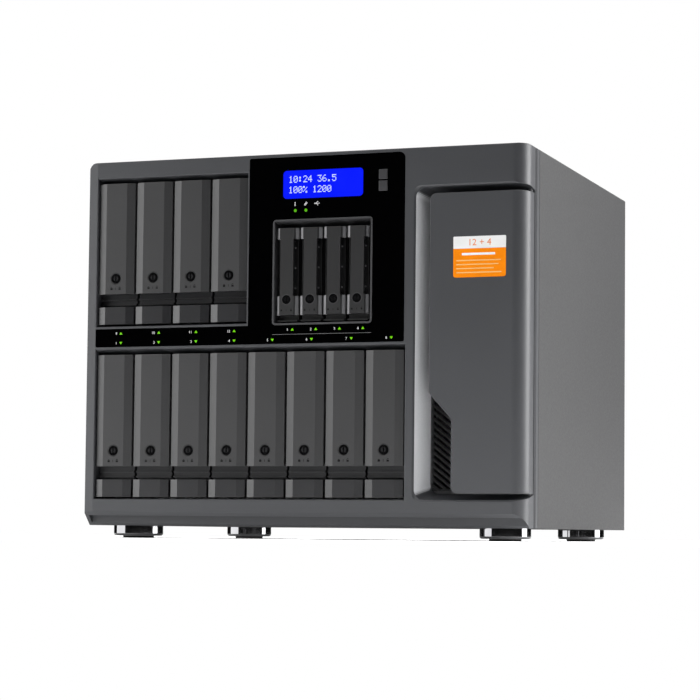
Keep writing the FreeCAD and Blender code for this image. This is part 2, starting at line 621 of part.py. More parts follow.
face = [(-d.hdd_w / 2, front + d.hdd_cham_d), (-d.hdd_w / 2 + d.hdd_cham_w, front), (d.hdd_w / 2 - d.hdd_cham_w, front),
        (d.hdd_w / 2, front + d.hdd_cham_d)]
hi = d.hdd_tall - 0.95
ht = body("hdd_tray_master")
feature(ht, "Pad", "hdd_plate", "XZ", -151.0, -147.6, rect(-14.2, 0.9, 14.2, hi))
feature(ht, "Pad", "hdd_throat", "XZ", -151.0, -147.6, rect(-d.hdd_w / 2, d.hdd_block - 2, d.hdd_w / 2, 27.0))
feature(ht, "Pad", "hdd_block_pad", "XY", 0.0, d.hdd_block, face + [(d.hdd_w / 2, -150.9), (-d.hdd_w / 2, -150.9)])
feature(ht, "Pad", "hdd_rail_low", "XZ", -147.7, d.hdd_rear, rect(-14.5, 0.9, 14.5, 5.6))
feature(ht, "Pad", "hdd_rail_top", "XZ", -147.7, d.hdd_rear, rect(-14.5, hi - 4.7, 14.5, hi))
feature(ht, "Pad", "hdd_floor", "XZ", -147.7, d.hdd_rear, rect(13.3, 5.5, 14.5, hi - 4.6))
for i, (ya, yb) in enumerate(((-136.0, -98.0), (-88.0, -52.0), (-42.0, -10.0))):
    feature(ht, "Pocket", "hdd_window_%d" % i, "YZ", 12.5, 15.5, rect(ya, 22.0, yb, 92.0))
# drive screws: 44.45 along the drive, 95.25 across it
for i, (ya, za) in enumerate(((-41.68, 9.525), (-86.13, 9.525), (-41.68, 104.775), (-86.13, 104.775))):
    feature(ht, "Pocket", "hdd_drive_hole_%d" % i, "YZ", 12.5, 15.5, circle=(ya, za, 1.8))
for i, za in enumerate((15.9, 19.9)):
    feature(ht, "Pad", "hdd_ridge_%d" % i, "XZ", -152.75, -150.9, rect(-d.hdd_w / 2, za, d.hdd_w / 2, za + 1.1))
feature(ht, "Pocket", "hdd_undercut", "XZ", -151.2, -149.0, rect(-15.7, d.hdd_block, 15.7, 15.3))
feature(ht, "Pad", "hdd_ear_arm", "YZ", -4.9, 4.9, rect(d.hdd_pivot_y, d.hdd_pivot_z - 2.3, -150.9, d.hdd_pivot_z + 2.3))
feature(ht, "Pad", "hdd_ear", "YZ", -4.9, 4.9, circle=(d.hdd_pivot_y, d.hdd_pivot_z, 2.3))
feature(ht, "Pad", "hdd_pin", "YZ", -8.9, 8.9, circle=(d.hdd_pivot_y, d.hdd_pivot_z, d.hdd_pin_r))

hl = body("hdd_lever_master")
lever_front = front + d.lever_in
lever_face = [(x, y + d.lever_in) for x, y in face]
feature(hl, "Pad", "hdd_lever_pad", "XY", d.hdd_grip, d.hdd_tall, lever_face + [(d.hdd_w / 2, -152.2), (-d.hdd_w / 2, -152.2)])
feature(hl, "Pocket", "hdd_lever_back", "YZ", -17, 17, [(-155.2, d.hdd_tall + 0.01), (-152.1, d.hdd_tall + 0.01), (-152.1, d.hdd_tall - 3.1)])
feature(hl, "Pocket", "hdd_lever_slot", "XZ", -157.6, -152.0, rect(-5.3, d.hdd_pivot_z - 2.9, 5.3, d.hdd_tall + 0.5))
feature(hl, "Pocket", "hdd_lever_bore", "YZ", -9.2, 9.2, circle=(d.hdd_pivot_y, d.hdd_pivot_z, d.hdd_pin_r + 0.06))
feature(hl, "Pocket", "hdd_lever_lock_hole", "XZ", -161.0, -152.0, circle=(0.0, d.hdd_lock_z, d.lock_rad))
feature(hl, "Pocket", "hdd_lever_hollow", "XZ", -155.9, -152.0, rect(-12.3, 44.0, 12.3, 102.0))
feature(hl, "Pocket", "hdd_lever_grip", "YZ", -17, 17, [(-156.2, d.hdd_grip - 0.01), (-152.1, d.hdd_grip - 0.01), (-152.1, d.hdd_grip + 4.0)])
doc.recompute()
edges = []
tip = hl.Tip
for i, e in enumerate(tip.Shape.Edges, 1):
    c = e.Curve
    if isinstance(c, Part.Circle) and near(c.Radius, d.lock_rad.v) and near(c.Center.y, lever_front.v):
        edges.append("Edge%d" % i)
ring = hl.newObject("PartDesign::Chamfer", "hdd_lock_ring")
ring.Base = (tip, edges[:1])
ring.Size = 0.9

hk = body("hdd_lock_master")
feature(hk, "Pad", "hdd_lock_pad", "XZ", front + 0.25, -152.4, circle=(0.0, d.hdd_lock_z, d.lock_rad - 0.07))
feature(hk, "Pocket", "hdd_lock_key", "XZ", front - 1, front + 2.3, rect(-0.5, d.hdd_lock_z - 2.2, 0.5, d.hdd_lock_z + 2.2))
hdd_lever_master = group("hdd_lever_set", [hl, hk])

for i in range(12):
    low = i < 8
    x = d.hdd_first + d.hdd_pitch * (i if low else i - 8)
    z = d.hdd_low_z if low else d.hdd_up_z
    keep(copy_at("hdd_tray_at_%d" % (i + 1), ht, x, 0, z), "hdd_tray_%d" % (i + 1))
    keep(copy_at("hdd_lever_at_%d" % (i + 1), hdd_lever_master, x, 0, z), "hdd_lever_%d" % (i + 1))

# ---------------------------------------------------------------- 2.5 inch tray and lever

st = body("ssd_tray_master")
feature(st, "Pad", "ssd_plate", "XZ", -153.3, -151.3, rect(-8.4, -5.1, 8.4, 69.5))
feature(st, "Pad", "ssd_rail_low", "XZ", -151.4, d.ssd_rear, rect(-8.6, -5.1, 8.6, -3.3))
feature(st, "Pad", "ssd_rail_top", "XZ", -151.4, d.ssd_rear, rect(-8.6, 67.7, 8.6, 69.5))
feature(st, "Pad", "ssd_floor", "XZ", -151.4, d.ssd_rear, rect(7.4, -3.4, 8.6, 67.8))
for i, (ya, yb) in enumerate(((-132.0, -106.0), (-98.0, -72.0))):
    feature(st, "Pocket", "ssd_window_%d" % i, "YZ", 6.8, 9.2, rect(ya, 8.0, yb, 56.0))
# drive screws: 76.6 along the drive, 61.72 across it
for i, (ya, za) in enumerate(((-63.3, 1.34), (-139.9, 1.34), (-63.3, 63.06), (-139.9, 63.06))):
    feature(st, "Pocket", "ssd_drive_hole_%d" % i, "YZ", 6.8, 9.2, circle=(ya, za, 1.6))
feature(st, "Pad", "ssd_sill", "XZ", -157.4, -153.2, rect(-8.4, -5.1, 8.4, -3.9))
feature(st, "Pad", "ssd_ear_arm", "YZ", -2.3, 2.3, rect(d.ssd_pivot_y, d.ssd_pivot_z - 1.4, -153.2, d.ssd_pivot_z + 1.4))
feature(st, "Pad", "ssd_ear", "YZ", -2.3, 2.3, circle=(d.ssd_pivot_y, d.ssd_pivot_z, 1.4))
feature(st, "Pad", "ssd_pin", "YZ", -5.2, 5.2, circle=(d.ssd_pivot_y, d.ssd_pivot_z, d.ssd_pin_r))
for i, za in enumerate((21.5, 37.6, 53.6)):
    feature(st, "Pad", "ssd_pip_%d" % i, "XZ", -154.3, -153.2, circle=(5.0, za, 0.65))
feature(st, "Pad", "ssd_flange_l", "XZ", -155.2, -153.2, rect(-8.4, 14.9, -7.7, 60.1))
feature(st, "Pad", "ssd_flange_r", "XZ", -155.2, -153.2, rect(7.7, 14.9, 8.4, 60.1))

sl = body("ssd_lever_master")
w, b2 = d.ssd_w / 2, d.ssd_bar_w / 2
feature(sl, "Pad", "ssd_lever_pad", "XZ", lever_front, front + 5,
        [(-w, 0), (w, 0), (w, 14.9), (b2, 14.9), (b2, 60.1), (w, 60.1), (w, d.ssd_tall), (-w, d.ssd_tall), (-w, 60.1), (-b2, 60.1), (-b2, 14.9), (-w, 14.9)])
for side, sign in (("l", -1), ("r", 1)):
    feature(sl, "Pocket", "ssd_cham_" + side, "XY", -1, 70,
            [((w + 0.5) * sign, lever_front + d.ssd_cham + 0.5), ((w - d.ssd_cham - 0.6) * sign, lever_front - 0.6), ((w + 0.5) * sign, lever_front - 0.6)])
feature(sl, "Pocket", "ssd_bar_back", "XZ", lever_front + d.ssd_bar_t, front + 5.1, rect(-6.2, 16.6, 6.2, 58.4))
feature(sl, "Pocket", "ssd_lever_slot", "XZ", front + 1.8, front + 5.2, rect(-2.6, d.ssd_pivot_z - 1.9, 2.6, d.ssd_tall + 0.5))
feature(sl, "Pocket", "ssd_lever_back", "YZ", -10, 10, [(-156.5, d.ssd_tall + 0.01), (-154.8, d.ssd_tall + 0.01), (-154.8, d.ssd_tall - 1.7)])
feature(sl, "Pocket", "ssd_lever_bore", "YZ", -5.5, 5.5, circle=(d.ssd_pivot_y, d.ssd_pivot_z, d.ssd_pin_r + 0.05))
feature(sl, "Pocket", "ssd_lever_lock_hole", "XZ", -161.0, -154.0, circle=(0.0, 12.1, d.lock_rad - 0.1))
sk2 = body("ssd_lock_master")
feature(sk2, "Pad", "ssd_lock_pad", "XZ", front + 0.2, front + 4.9, circle=(0.0, 12.1, d.lock_rad - 0.17))
feature(sk2, "Pocket", "ssd_lock_key", "XZ", front - 1, front + 2.0, rect(-0.45, 10.1, 0.45, 14.1))
ssd_lever_master = group("ssd_lever_set", [sl, sk2])
for i in range(4):
    x = d.ssd_first + d.ssd_pitch * i
    keep(copy_at("ssd_tray_at_%d" % (i + 1), st, x, 0, d.ssd_z), "ssd_tray_%d" % (i + 1))
    keep(copy_at("ssd_lever_at_%d" % (i + 1), ssd_lever_master, x, 0, d.ssd_z), "ssd_lever_%d" % (i + 1))

# ---------------------------------------------------------------- cages

deck = d.foot_rise + d.sheet_t          # top of the base pan
shelf_top = Q(168.7)


def cage(label, first, pitch, bays, z_low, z_high, y0, y1, leg_z, thin):
    """Guide cage of spot-welded plates: two decks, a divider each side of every bay, legs down to leg_z."""
    xl = first - pitch / 2
    xr = first + pitch * (bays - 0.5)
    parts = [box(label + "_bottom", (xl - thin / 2, y0, z_low - d.sheet_t), (xr + thin / 2, y1, z_low)),
             box(label + "_top", (xl - thin / 2, y0, z_high), (xr + thin / 2, y1, z_high + d.sheet_t))]
    for i in range(bays + 1):
        x = xl + pitch * i
        parts.append(box(label + "_div_%d" % i, (x - thin / 2, y0, z_low), (x + thin / 2, y1, z_high)))
    for i in (0, bays):
        x = xl + pitch * i
        parts.append(box(label + "_leg_%d" % i, (x - thin / 2, y0, leg_z), (x + thin / 2, y1, z_low - d.sheet_t)))
    return keep(group(label + "_all", parts), label)


cage("lower_bay_cage", d.hdd_first, d.hdd_pitch, 8, d.hdd_low_z + 0.05, d.hdd_low_z + d.hdd_tall, bezel_back, d.hdd_rear + 5.4, deck, 1.0)
cage("upper_bay_cage", d.hdd_first, d.hdd_pitch, 4, d.hdd_up_z + 0.05, d.hdd_up_z + d.hdd_tall, bezel_back, d.hdd_rear + 5.4, shelf_top, 1.0)
cage("ssd_bay_cage", d.ssd_first, d.ssd_pitch, 4, Q(170.4), Q(246.2), bezel_back, d.ssd_rear + 5.0, shelf_top, 0.8)

# Boards behind the bays, each with its drive connectors and air slots.
boards = []


def board(name, first, pitch, bays, z0, z1, y_front, reach, cx, cw, ch, z_mid, vent):
    xl, xr = first - pitch / 2 + 0.6, first + pitch * (bays - 0.5) - 0.6
    pcb = box(name + "_pcb", (xl, y_front, z0), (xr, y_front + 1.6, z1))
    add = [pcb]
    holes = []
    for i in range(bays):
        x = first + pitch * i
        add.append(box(name + "_plug_%d" % i, (x + cx, y_front - reach, z_mid - ch / 2), (x + cx + cw, y_front + 0.4, z_mid + ch / 2)))
        holes.append(box(name + "_air_%d" % i, (x + vent[0], y_front - 1, z_mid - vent[2]), (x + vent[1], y_front + 3, z_mid + vent[2])))
    return cut(name, fuse(name + "_solid", add), holes)


boards.append(board("board_low", d.hdd_first, d.hdd_pitch, 8, d.hdd_low_z + 0.3, d.hdd_low_z + d.hdd_tall - 0.3, d.hdd_rear + 5.4, 4.8, -10.0, 5.5, 43.0, Q(89.9), (1.0, 11.0, 40.0)))
boards.append(board("board_up", d.hdd_first, d.hdd_pitch, 4, d.hdd_up_z + 0.3, d.hdd_up_z + d.hdd_tall - 0.3, d.hdd_rear + 5.4, 4.8, -10.0, 5.5, 43.0, Q(228.9), (1.0, 11.0, 40.0)))
boards.append(board("board_ssd", d.ssd_first, d.ssd_pitch, 4, 170.6, 246.0, d.ssd_rear + 5.0, 4.6, -6.5, 4.0, 43.0, Q(208.3), (1.0, 6.5, 26.0)))
keep(group("boards", boards), "drive_backplanes")

# ---------------------------------------------------------------- steel case

cover_out = round_edges("cover_out", box("cover_box", (-half_w, bezel_back + d.seam, d.foot_rise), (half_w, back, d.case_top)),
                        [(d.top_break, {"z": d.case_top, "x": half_w}), (d.top_rad, {"z": d.case_top, "x": -half_w})])
cover_in = round_edges("cover_in", box("cover_core", (-half_w + d.sheet_t, bezel_back - 5, 0), (half_w - d.sheet_t, back + 5, d.case_top - d.sheet_t)),
                       [(d.top_rad - d.sheet_t, {"z": d.case_top - d.sheet_t, "x": -half_w + d.sheet_t})])
keep(cut("cover", cover_out, [cover_in]), "top_cover")

inside = half_w - d.sheet_t - 0.05
panel_front = back - 2.8
base_parts = [box("base_floor", (-inside, bezel_back + 0.1, d.foot_rise), (inside, panel_front + d.sheet_t, deck)),
              box("base_left", (-inside, bezel_back + 0.1, deck - 0.1), (-inside + d.sheet_t, 145, 25)),
              box("base_right", (inside - d.sheet_t, bezel_back + 0.1, deck - 0.1), (inside, 145, 25))]
keep(fuse("base", base_parts), "base_pan")

frame_parts = [box("frame_shelf", (-inside + 0.2, bezel_back, shelf_top - d.sheet_t), (89.6, 30, shelf_top)),
               box("frame_wall", (89.5, bezel_back, deck), (90.7, 60, d.case_top - d.sheet_t - 0.6)),
               box("frame_foot_l", (-inside + 0.2, bezel_back + 0.2, 25.2), (-inside + 1.4, 30, shelf_top - 0.2))]
keep(fuse("frame", frame_parts), "inner_frame")


def ring_slots(name, cx, cz, rings, spoke):
    """Concentric slots of a stamped fan guard, crossed by four diagonal spokes."""
    parts = []
    for i, (ra, rb) in enumerate(rings):
        outer = cyl("%s_o%d" % (name, i), "Y", (cx, panel_front - 4, cz), rb, 12)
        inner = cyl("%s_i%d" % (name, i), "Y", (cx, panel_front - 5, cz), ra, 14)
        parts.append(cut("%s_ring%d" % (name, i), outer, [inner]))
    rmax = rings[-1][1] + 2
    bars = []
    for k, ang in enumerate((45, -45)):
        o = doc.addObject("Part::Box", "%s_spoke%d" % (name, k))
        o.Length, o.Width, o.Height = 2 * rmax, 14, spoke
        off = Rotation(Vector(0, 1, 0), ang).multVec(Vector(-rmax, 0, -spoke / 2))
        place(o, cx + off.x, panel_front - 5, cz + off.z, rot=Rotation(Vector(0, 1, 0), ang))
        bars.append(o)
    return cut(name, group(name + "_rings", parts), [fuse(name + "_spokes", bars)])


rear_plate = round_edges("rear_plate", box("rear_plate_box", (-inside, panel_front, deck + 0.1), (inside, panel_front + d.sheet_t, d.case_top - d.sheet_t - 0.05)),
                         [(5.6, {"x": -inside, "z": d.case_top - d.sheet_t - 0.05})])
rear_solid = fuse("rear_solid", [rear_plate,
                                 box("rear_flange_l", (-inside, 146, 27), (-inside + d.sheet_t, panel_front + 0.1, 292)),
                                 box("rear_flange_r", (inside - d.sheet_t, 146, 27), (inside, panel_front + 0.1, 292))])
rings = [(21.0, 26.0), (29.5, 34.5), (38.0, 43.0), (46.5, 51.5)]
holes = []
screw_spots = []
for n, z in (("low", d.fan_low_z), ("up", d.fan_up_z)):
    holes.append(ring_slots("guard_" + n, d.fan_x, z, rings, 5.0))
    for sx in (-0.5, 0.5):
        for sz in (-0.5, 0.5):
            screw_spots.append((d.fan_x + d.fan_holes * sx, z + d.fan_holes * sz, 2.2))
psu_z = deck + 0.2
holes.append(box("psu_view", (d.psu_l + 3, panel_front - 2, psu_z + 3), (d.psu_l + d.psu_w - 3, panel_front + 4, psu_z + d.psu_tall - 3)))
port_x = [107.0, 127.0, 147.0, 167.0]
for i, x in enumerate(port_x):
    holes.append(box("port_view_%d" % i, (x - 8.3, panel_front - 2, 198.6), (x + 8.3, panel_front + 4, 210.0)))
for r in range(8):
    for c in range(3):
        holes.append(box("vent_%d_%d" % (r, c), (98 + c * 27.0, panel_front - 2, 228 + r * 7.5), (120 + c * 27.0, panel_front + 4, 231 + r * 7.5)))
for r in range(6):
    holes.append(box("side_vent_%d" % r, (-10, panel_front - 2, 40 + r * 9.0), (60, panel_front + 4, 43.5 + r * 9.0)))
holes.append(box("security_slot", (20, panel_front - 2, 283), (27, panel_front + 4, 286)))
for x, z in ((-178.0, 60.0), (-178.0, 250.0), (178.5, 190.0), (178.5, 285.0), (0.0, 20.0), (0.0, 296.0)):
    screw_spots.append((Q(x), Q(z), 2.2))
for i, (x, z, rad) in enumerate(screw_spots):
    holes.append(cyl("rear_screw_hole_%d" % i, "Y", (x, panel_front - 2, z), rad, 6))
keep(cut("rear", rear_solid, holes), "rear_panel")

screw_head = cyl("screw_head", "Y", (0, panel_front + d.sheet_t, 0), 3.8, 1.4)
screw_shank = cyl("screw_shank", "Y", (0, panel_front - 6, 0), 1.9, 7.5)
screw_key = box("screw_key", (-2.2, panel_front + d.sheet_t + 0.7, -0.4), (2.2, panel_front + 6, 0.4))
screw_key2 = box("screw_key2", (-0.4, panel_front + d.sheet_t + 0.7, -2.2), (0.4, panel_front + 6, 2.2))
screw = cut("screw", fuse("screw_solid", [screw_head, screw_shank]), [fuse("screw_cross", [screw_key, screw_key2])])
keep(group("screws", [copy_at("screw_at_%d" % i, screw, x, 0, z) for i, (x, z, rad) in enumerate(screw_spots)]), "case_screws")

# ---------------------------------------------------------------- fans

fan_back = panel_front - 0.1
fan_front = fan_back - 25


def fan_frame(name, z):
    h = d.fan_size / 2
    block = round_edges(name + "_block", box(name + "_box", (d.fan_x - h, fan_front, z - h), (d.fan_x + h, fan_back, z + h)),
                        [(5.0, {"x": [d.fan_x - h], "z": [z - h]}), (5.0, {"x": [d.fan_x + h], "z": [z - h]}),
                         (5.0, {"x": [d.fan_x - h], "z": [z + h]}), (5.0, {"x": [d.fan_x + h], "z": [z + h]})])
    bore = cyl(name + "_bore", "Y", (d.fan_x, fan_front - 1, z), 57.5, 27)
    tools = [bore]
    for i, (sx, sz) in enumerate(((-0.5, -0.5), (0.5, -0.5), (-0.5, 0.5), (0.5, 0.5))):
        tools.append(cyl("%s_hole_%d" % (name, i), "Y", (d.fan_x + d.fan_holes * sx, fan_front - 1, z + d.fan_holes * sz), 2.15, 27))
    ring_ = cut(name + "_ring", block, tools)
    hub = cyl(name + "_hub", "Y", (d.fan_x, fan_back - 4.5, z), 20, 4)
    axle = cyl(name + "_axle", "Y", (d.fan_x, fan_back - 17, z), 1.5, 13)
    arms = [box(name + "_arm_h", (d.fan_x - 58.5, fan_back - 4, z - 2.5), (d.fan_x + 58.5, fan_back - 0.5, z + 2.5)),
            box(name + "_arm_v", (d.fan_x - 2.5, fan_back - 4, z - 58.5), (d.fan_x + 2.5, fan_back - 0.5, z + 58.5))]
    return fuse(name, [ring_, hub, axle] + arms)


keep(group("fans", [fan_frame("fan_low", d.fan_low_z), fan_frame("fan_up", d.fan_up_z)]), "fan_housings")


def rotor(name, y0, y1, hub_r, tip, chord, blades, bore_r, bore_len):
    """Rotor about its own Y axis: hub, blind bore from the back, slanted blades."""
    b = body(name)
    feature(b, "Pad", name + "_hub", "XZ", y0, y1, circle=(0.0, 0.0, hub_r))
    feature(b, "Pocket", name + "_bore", "XZ", y1 - bore_len, y1 + 0.5, circle=(0.0, 0.0, bore_r))
    lift = (y1 - y0 - 2.0)
    ya, yb = y0 + 1.0, y1 - 1.0
    blade = feature(b, "Pad", name + "_blade", "XY", hub_r - 1.5, tip,
                    [(-chord, ya), (-chord + 2.6, ya), (chord, yb), (chord - 2.6, yb)])
    doc.recompute()
    pat = b.newObject("PartDesign::PolarPattern", name + "_blades")
    pat.Originals = [blade]
    axis = [f for f in b.Origin.OriginFeatures if f.Role == "Y_Axis"][0]
    pat.Axis = (axis, [""])
    pat.Angle = 360
    pat.Occurrences = blades
    b.Tip = pat
    return b


rot_m = rotor("rotor_master", fan_back.v - 23.0, fan_back.v - 5.2, 19.5, 54.0, 11.0, 7, 1.56, 13.0)
keep(copy_at("rotor_low", rot_m, d.fan_x, 0, d.fan_low_z), "fan_rotor_lower")
keep(copy_at("rotor_up", rot_m, d.fan_x, 0, d.fan_up_z), "fan_rotor_upper")

# ---------------------------------------------------------------- power supply

psu_y1 = panel_front
psu_y0 = psu_y1 - d.psu_d
psu_r = d.psu_l + d.psu_w
psu_mid = d.psu_l + d.psu_w / 2
psu_fan_z = psu_z + 104
psu_top = psu_z + d.psu_tall
psu_il, psu_ir, psu_ib, psu_it = d.psu_l + d.sheet_t, psu_r - d.sheet_t, psu_z + d.sheet_t, psu_top - d.sheet_t
psu_walls = [box("psu_wall_l", (d.psu_l, psu_y0, psu_z), (psu_il, psu_y1, psu_top)),
             box("psu_wall_r", (psu_ir, psu_y0, psu_z), (psu_r, psu_y1, psu_top)),
             box("psu_wall_b", (psu_il, psu_y0, psu_z), (psu_ir, psu_y1, psu_ib)),
             box("psu_wall_t", (psu_il, psu_y0, psu_it), (psu_ir, psu_y1, psu_top))]
psu_inner = box("psu_inner_plate", (psu_il, psu_y0, psu_ib), (psu_ir, psu_y0 + d.sheet_t, psu_it))
psu_outer = box("psu_outer_plate", (psu_il, psu_y1 - d.sheet_t, psu_ib), (psu_ir, psu_y1, psu_it))
psu_guard = ring_slots("psu_guard", psu_mid, psu_fan_z, [(9.5, 13.5), (16.5, 20.5), (23.5, 27.5)], 4.0)
psu_cutout = box("psu_cutout", (psu_mid - 14.2, psu_y1 - 3, psu_z + 23.8), (psu_mid + 14.2, psu_y1 + 2, psu_z + 46.2))
psu_slots = [box("psu_slot_%d" % i, (d.psu_l + 12 + i * 8, psu_y0 - 2, psu_z + 20), (d.psu_l + 16 + i * 8, psu_y0 + 3, psu_z + 130)) for i in range(8)]
psu_front_wall = cut("psu_front_wall", psu_inner, psu_slots)
psu_open = cut("psu_open", psu_outer, [psu_guard, psu_cutout])
psu_axle = cyl("psu_axle", "Y", (psu_mid, psu_y1 - 16, psu_fan_z), 1.2, 15.2)
psu_boss = cyl("psu_boss", "Y", (psu_mid, psu_y1 - 3.0, psu_fan_z), 7.0, 2.4)
psu_back_wall = fuse("psu_back_wall", [psu_open, psu_axle, psu_boss])
keep(group("psu", psu_walls + [psu_front_wall, psu_back_wall]), "power_supply")
prot = rotor("psu_rotor_master", psu_y1.v - 19.0, psu_y1.v - 3.8, 10.5, 25.5, 6.0, 7, 1.26, 12.6)
keep(copy_at("psu_rotor", prot, psu_mid, 0, psu_fan_z), "psu_fan_rotor")

inlet_z = psu_z + 35
inlet_body = box("inlet_body", (psu_mid - 14, psu_y1 - 22, inlet_z - 11), (psu_mid + 14, psu_y1 + 0.4, inlet_z + 11))
inlet_flange = round_edges("inlet_flange", box("inlet_flange_box", (psu_mid - 17, psu_y1 + 0.05, inlet_z - 13.5), (psu_mid + 17, psu_y1 + 2.2, inlet_z + 13.5)),
                           [(3.0, {"x": [psu_mid - 17], "z": [inlet_z - 13.5]}), (3.0, {"x": [psu_mid + 17], "z": [inlet_z - 13.5]}),
                            (3.0, {"x": [psu_mid - 17], "z": [inlet_z + 13.5]}), (3.0, {"x": [psu_mid + 17], "z": [inlet_z + 13.5]})])
inlet_hole = round_edges("inlet_hole", box("inlet_hole_box", (psu_mid - 12, psu_y1 - 16, inlet_z - 8.2), (psu_mid + 12, psu_y1 + 5, inlet_z + 8.2)),
                         [(5.0, {"x": [psu_mid - 12], "z": [inlet_z + 8.2]}), (5.0, {"x": [psu_mid + 12], "z": [inlet_z + 8.2]}),
                          (1.0, {"x": [psu_mid - 12], "z": [inlet_z - 8.2]}), (1.0, {"x": [psu_mid + 12], "z": [inlet_z - 8.2]})])
inlet_shell = cut("inlet_shell", fuse("inlet_solid", [inlet_body, inlet_flange]), [inlet_hole])
blades = [box("blade_%d" % i, (psu_mid + dx - 1, psu_y1 - 17, inlet_z + dz - 2), (psu_mid + dx + 1, psu_y1 - 2.6, inlet_z + dz + 2))
          for i, (dx, dz) in enumerate(((-7, -1.5), (7, -1.5), (0, 2.8)))]
keep(fuse("inlet", [inlet_shell] + blades), "power_inlet")

# ---------------------------------------------------------------- controller board

pcb_z = 199.0
ctrl = [box("ctrl_pcb", (94, 30, pcb_z - 1.6), (180, psu_y1 - 1, pcb_z)),
        box("ctrl_sink", (110, 60, pcb_z - 0.1), (150, 100, pcb_z + 14)),
        box("ctrl_hang", (90.75, 40, pcb_z - 6), (96, 56, pcb_z - 1.5))]
ctrl_holes = []
for i in range(7):
    ctrl_holes.append(box("sink_gap_%d" % i, (112.5 + i * 5.4, 59, pcb_z + 3), (115.5 + i * 5.4, 101, pcb_z + 15)))
for i, x in enumerate(port_x):
    ctrl.append(box("port_%d" % i, (x - 8.0, psu_y1 - 32, pcb_z - 0.1), (x + 8.0, psu_y1 + 1.6, pcb_z + 10.6)))
    ctrl_holes.append(box("port_mouth_%d" % i, (x - 6.8, psu_y1 - 16, pcb_z + 2.8), (x + 6.8, psu_y1 + 5, pcb_z + 9.4)))
ctrl.append(box("port_lift", (96, psu_y1 - 32, pcb_z - 0.1), (178, psu_y1 - 2, pcb_z + 1.7)))
keep(cut("controller", fuse("controller_solid", ctrl), ctrl_holes), "controller_board")

# ---------------------------------------------------------------- feet

fr = body("foot_ring_master")
feature(fr, "Pad", "foot_disc", "XY", 1.7, d.foot_rise, circle=(0.0, 0.0, d.foot_rad))
feature(fr, "Pocket", "foot_seat", "XY", 1.0, 4.0, circle=(0.0, 0.0, d.pad_rad + 0.05))
doc.recompute()
tip = fr.Tip
edges = ["Edge%d" % i for i, e in enumerate(tip.Shape.Edges, 1)
         if isinstance(e.Curve, Part.Circle) and near(e.Curve.Radius, d.foot_rad.v) and near(e.Curve.Center.z, 1.7)]
rim = fr.newObject("PartDesign::Fillet", "foot_rim")
rim.Base = (tip, edges[:1])
rim.Radius = 2.0
fp = body("foot_pad_master")
feature(fp, "Pad", "pad_disc", "XY", 0.0, 4.0, circle=(0.0, 0.0, d.pad_rad))
spots = [(-d.foot_x, -d.foot_y), (d.foot_x, -d.foot_y), (-d.foot_x, d.foot_y), (d.foot_x, d.foot_y)]
keep(group("rings_all", [copy_at("ring_at_%d" % i, fr, x, y, 0) for i, (x, y) in enumerate(spots)]), "foot_rings")
keep(group("pads_all", [copy_at("pad_at_%d" % i, fp, x, y, 0) for i, (x, y) in enumerate(spots)]), "foot_pads")

# ---------------------------------------------------------------- check and write

doc.recompute()
for obj in doc.Objects:
    if "Invalid" in obj.State or "Error" in obj.State:
        raise RuntimeError("%s (%s) is %s" % (obj.Name, obj.Label, obj.State))
os.makedirs("parts", exist_ok=True)
whole = FreeCAD.BoundBox()
total = 0.0
for label, obj in nodes:
    shape = obj.Shape
    if shape.isNull() or not shape.isValid():
        raise RuntimeError("%s has no valid shape" % label)
    if not shape.Solids:
        raise RuntimeError("%s has no solid" % label)
for label, obj in nodes:
    shape = obj.Shape
    whole.add(shape.BoundBox)
    total += shape.Volume
    print("%-18s solids %2d faces %4d volume %10.1f" % (label, len(shape.Solids), len(shape.Faces), shape.Volume))
    shape.exportStep("parts/%s.step" % label)
print("nodes", len(nodes), "box", whole)
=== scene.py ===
import math

import bmesh
import bpy
from mathutils import Matrix, Vector


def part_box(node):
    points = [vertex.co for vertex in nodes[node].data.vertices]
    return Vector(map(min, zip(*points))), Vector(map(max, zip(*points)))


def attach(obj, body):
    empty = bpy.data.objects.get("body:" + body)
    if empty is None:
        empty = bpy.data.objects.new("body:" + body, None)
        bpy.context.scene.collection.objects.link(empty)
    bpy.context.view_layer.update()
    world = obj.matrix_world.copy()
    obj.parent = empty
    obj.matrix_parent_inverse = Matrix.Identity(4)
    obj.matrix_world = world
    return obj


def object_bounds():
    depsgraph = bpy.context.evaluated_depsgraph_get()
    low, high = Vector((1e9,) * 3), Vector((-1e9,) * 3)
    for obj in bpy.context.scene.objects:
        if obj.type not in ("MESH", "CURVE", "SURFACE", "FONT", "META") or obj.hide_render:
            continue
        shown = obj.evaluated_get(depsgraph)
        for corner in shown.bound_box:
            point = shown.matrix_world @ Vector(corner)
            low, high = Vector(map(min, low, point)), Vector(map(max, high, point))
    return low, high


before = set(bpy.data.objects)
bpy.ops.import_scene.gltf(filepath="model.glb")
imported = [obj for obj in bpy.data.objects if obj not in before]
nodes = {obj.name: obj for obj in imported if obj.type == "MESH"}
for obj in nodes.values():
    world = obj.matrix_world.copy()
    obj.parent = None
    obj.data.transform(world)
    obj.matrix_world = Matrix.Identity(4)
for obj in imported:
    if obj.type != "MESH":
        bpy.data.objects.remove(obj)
CAD_LO, CAD_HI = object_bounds()
scene = bpy.context.scene
MM = 0.001


def box(name):
    lo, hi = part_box(name)
    return lo / MM, hi / MM


FRONT = CAD_LO.y / MM          # the plane of the moulded front, in mm

# ------------------------------------------------------------------ colours and node helpers


def lin(r, g=None, b=None):
    """sRGB 0..255 to linear RGBA."""
    if g is None:
        g = b = r
    out = []
    for c in (r, g, b):
        c /= 255.0
        out.append(c / 12.92 if c <= 0.04045 else ((c + 0.055) / 1.055) ** 2.4)
    return (*out, 1.0)


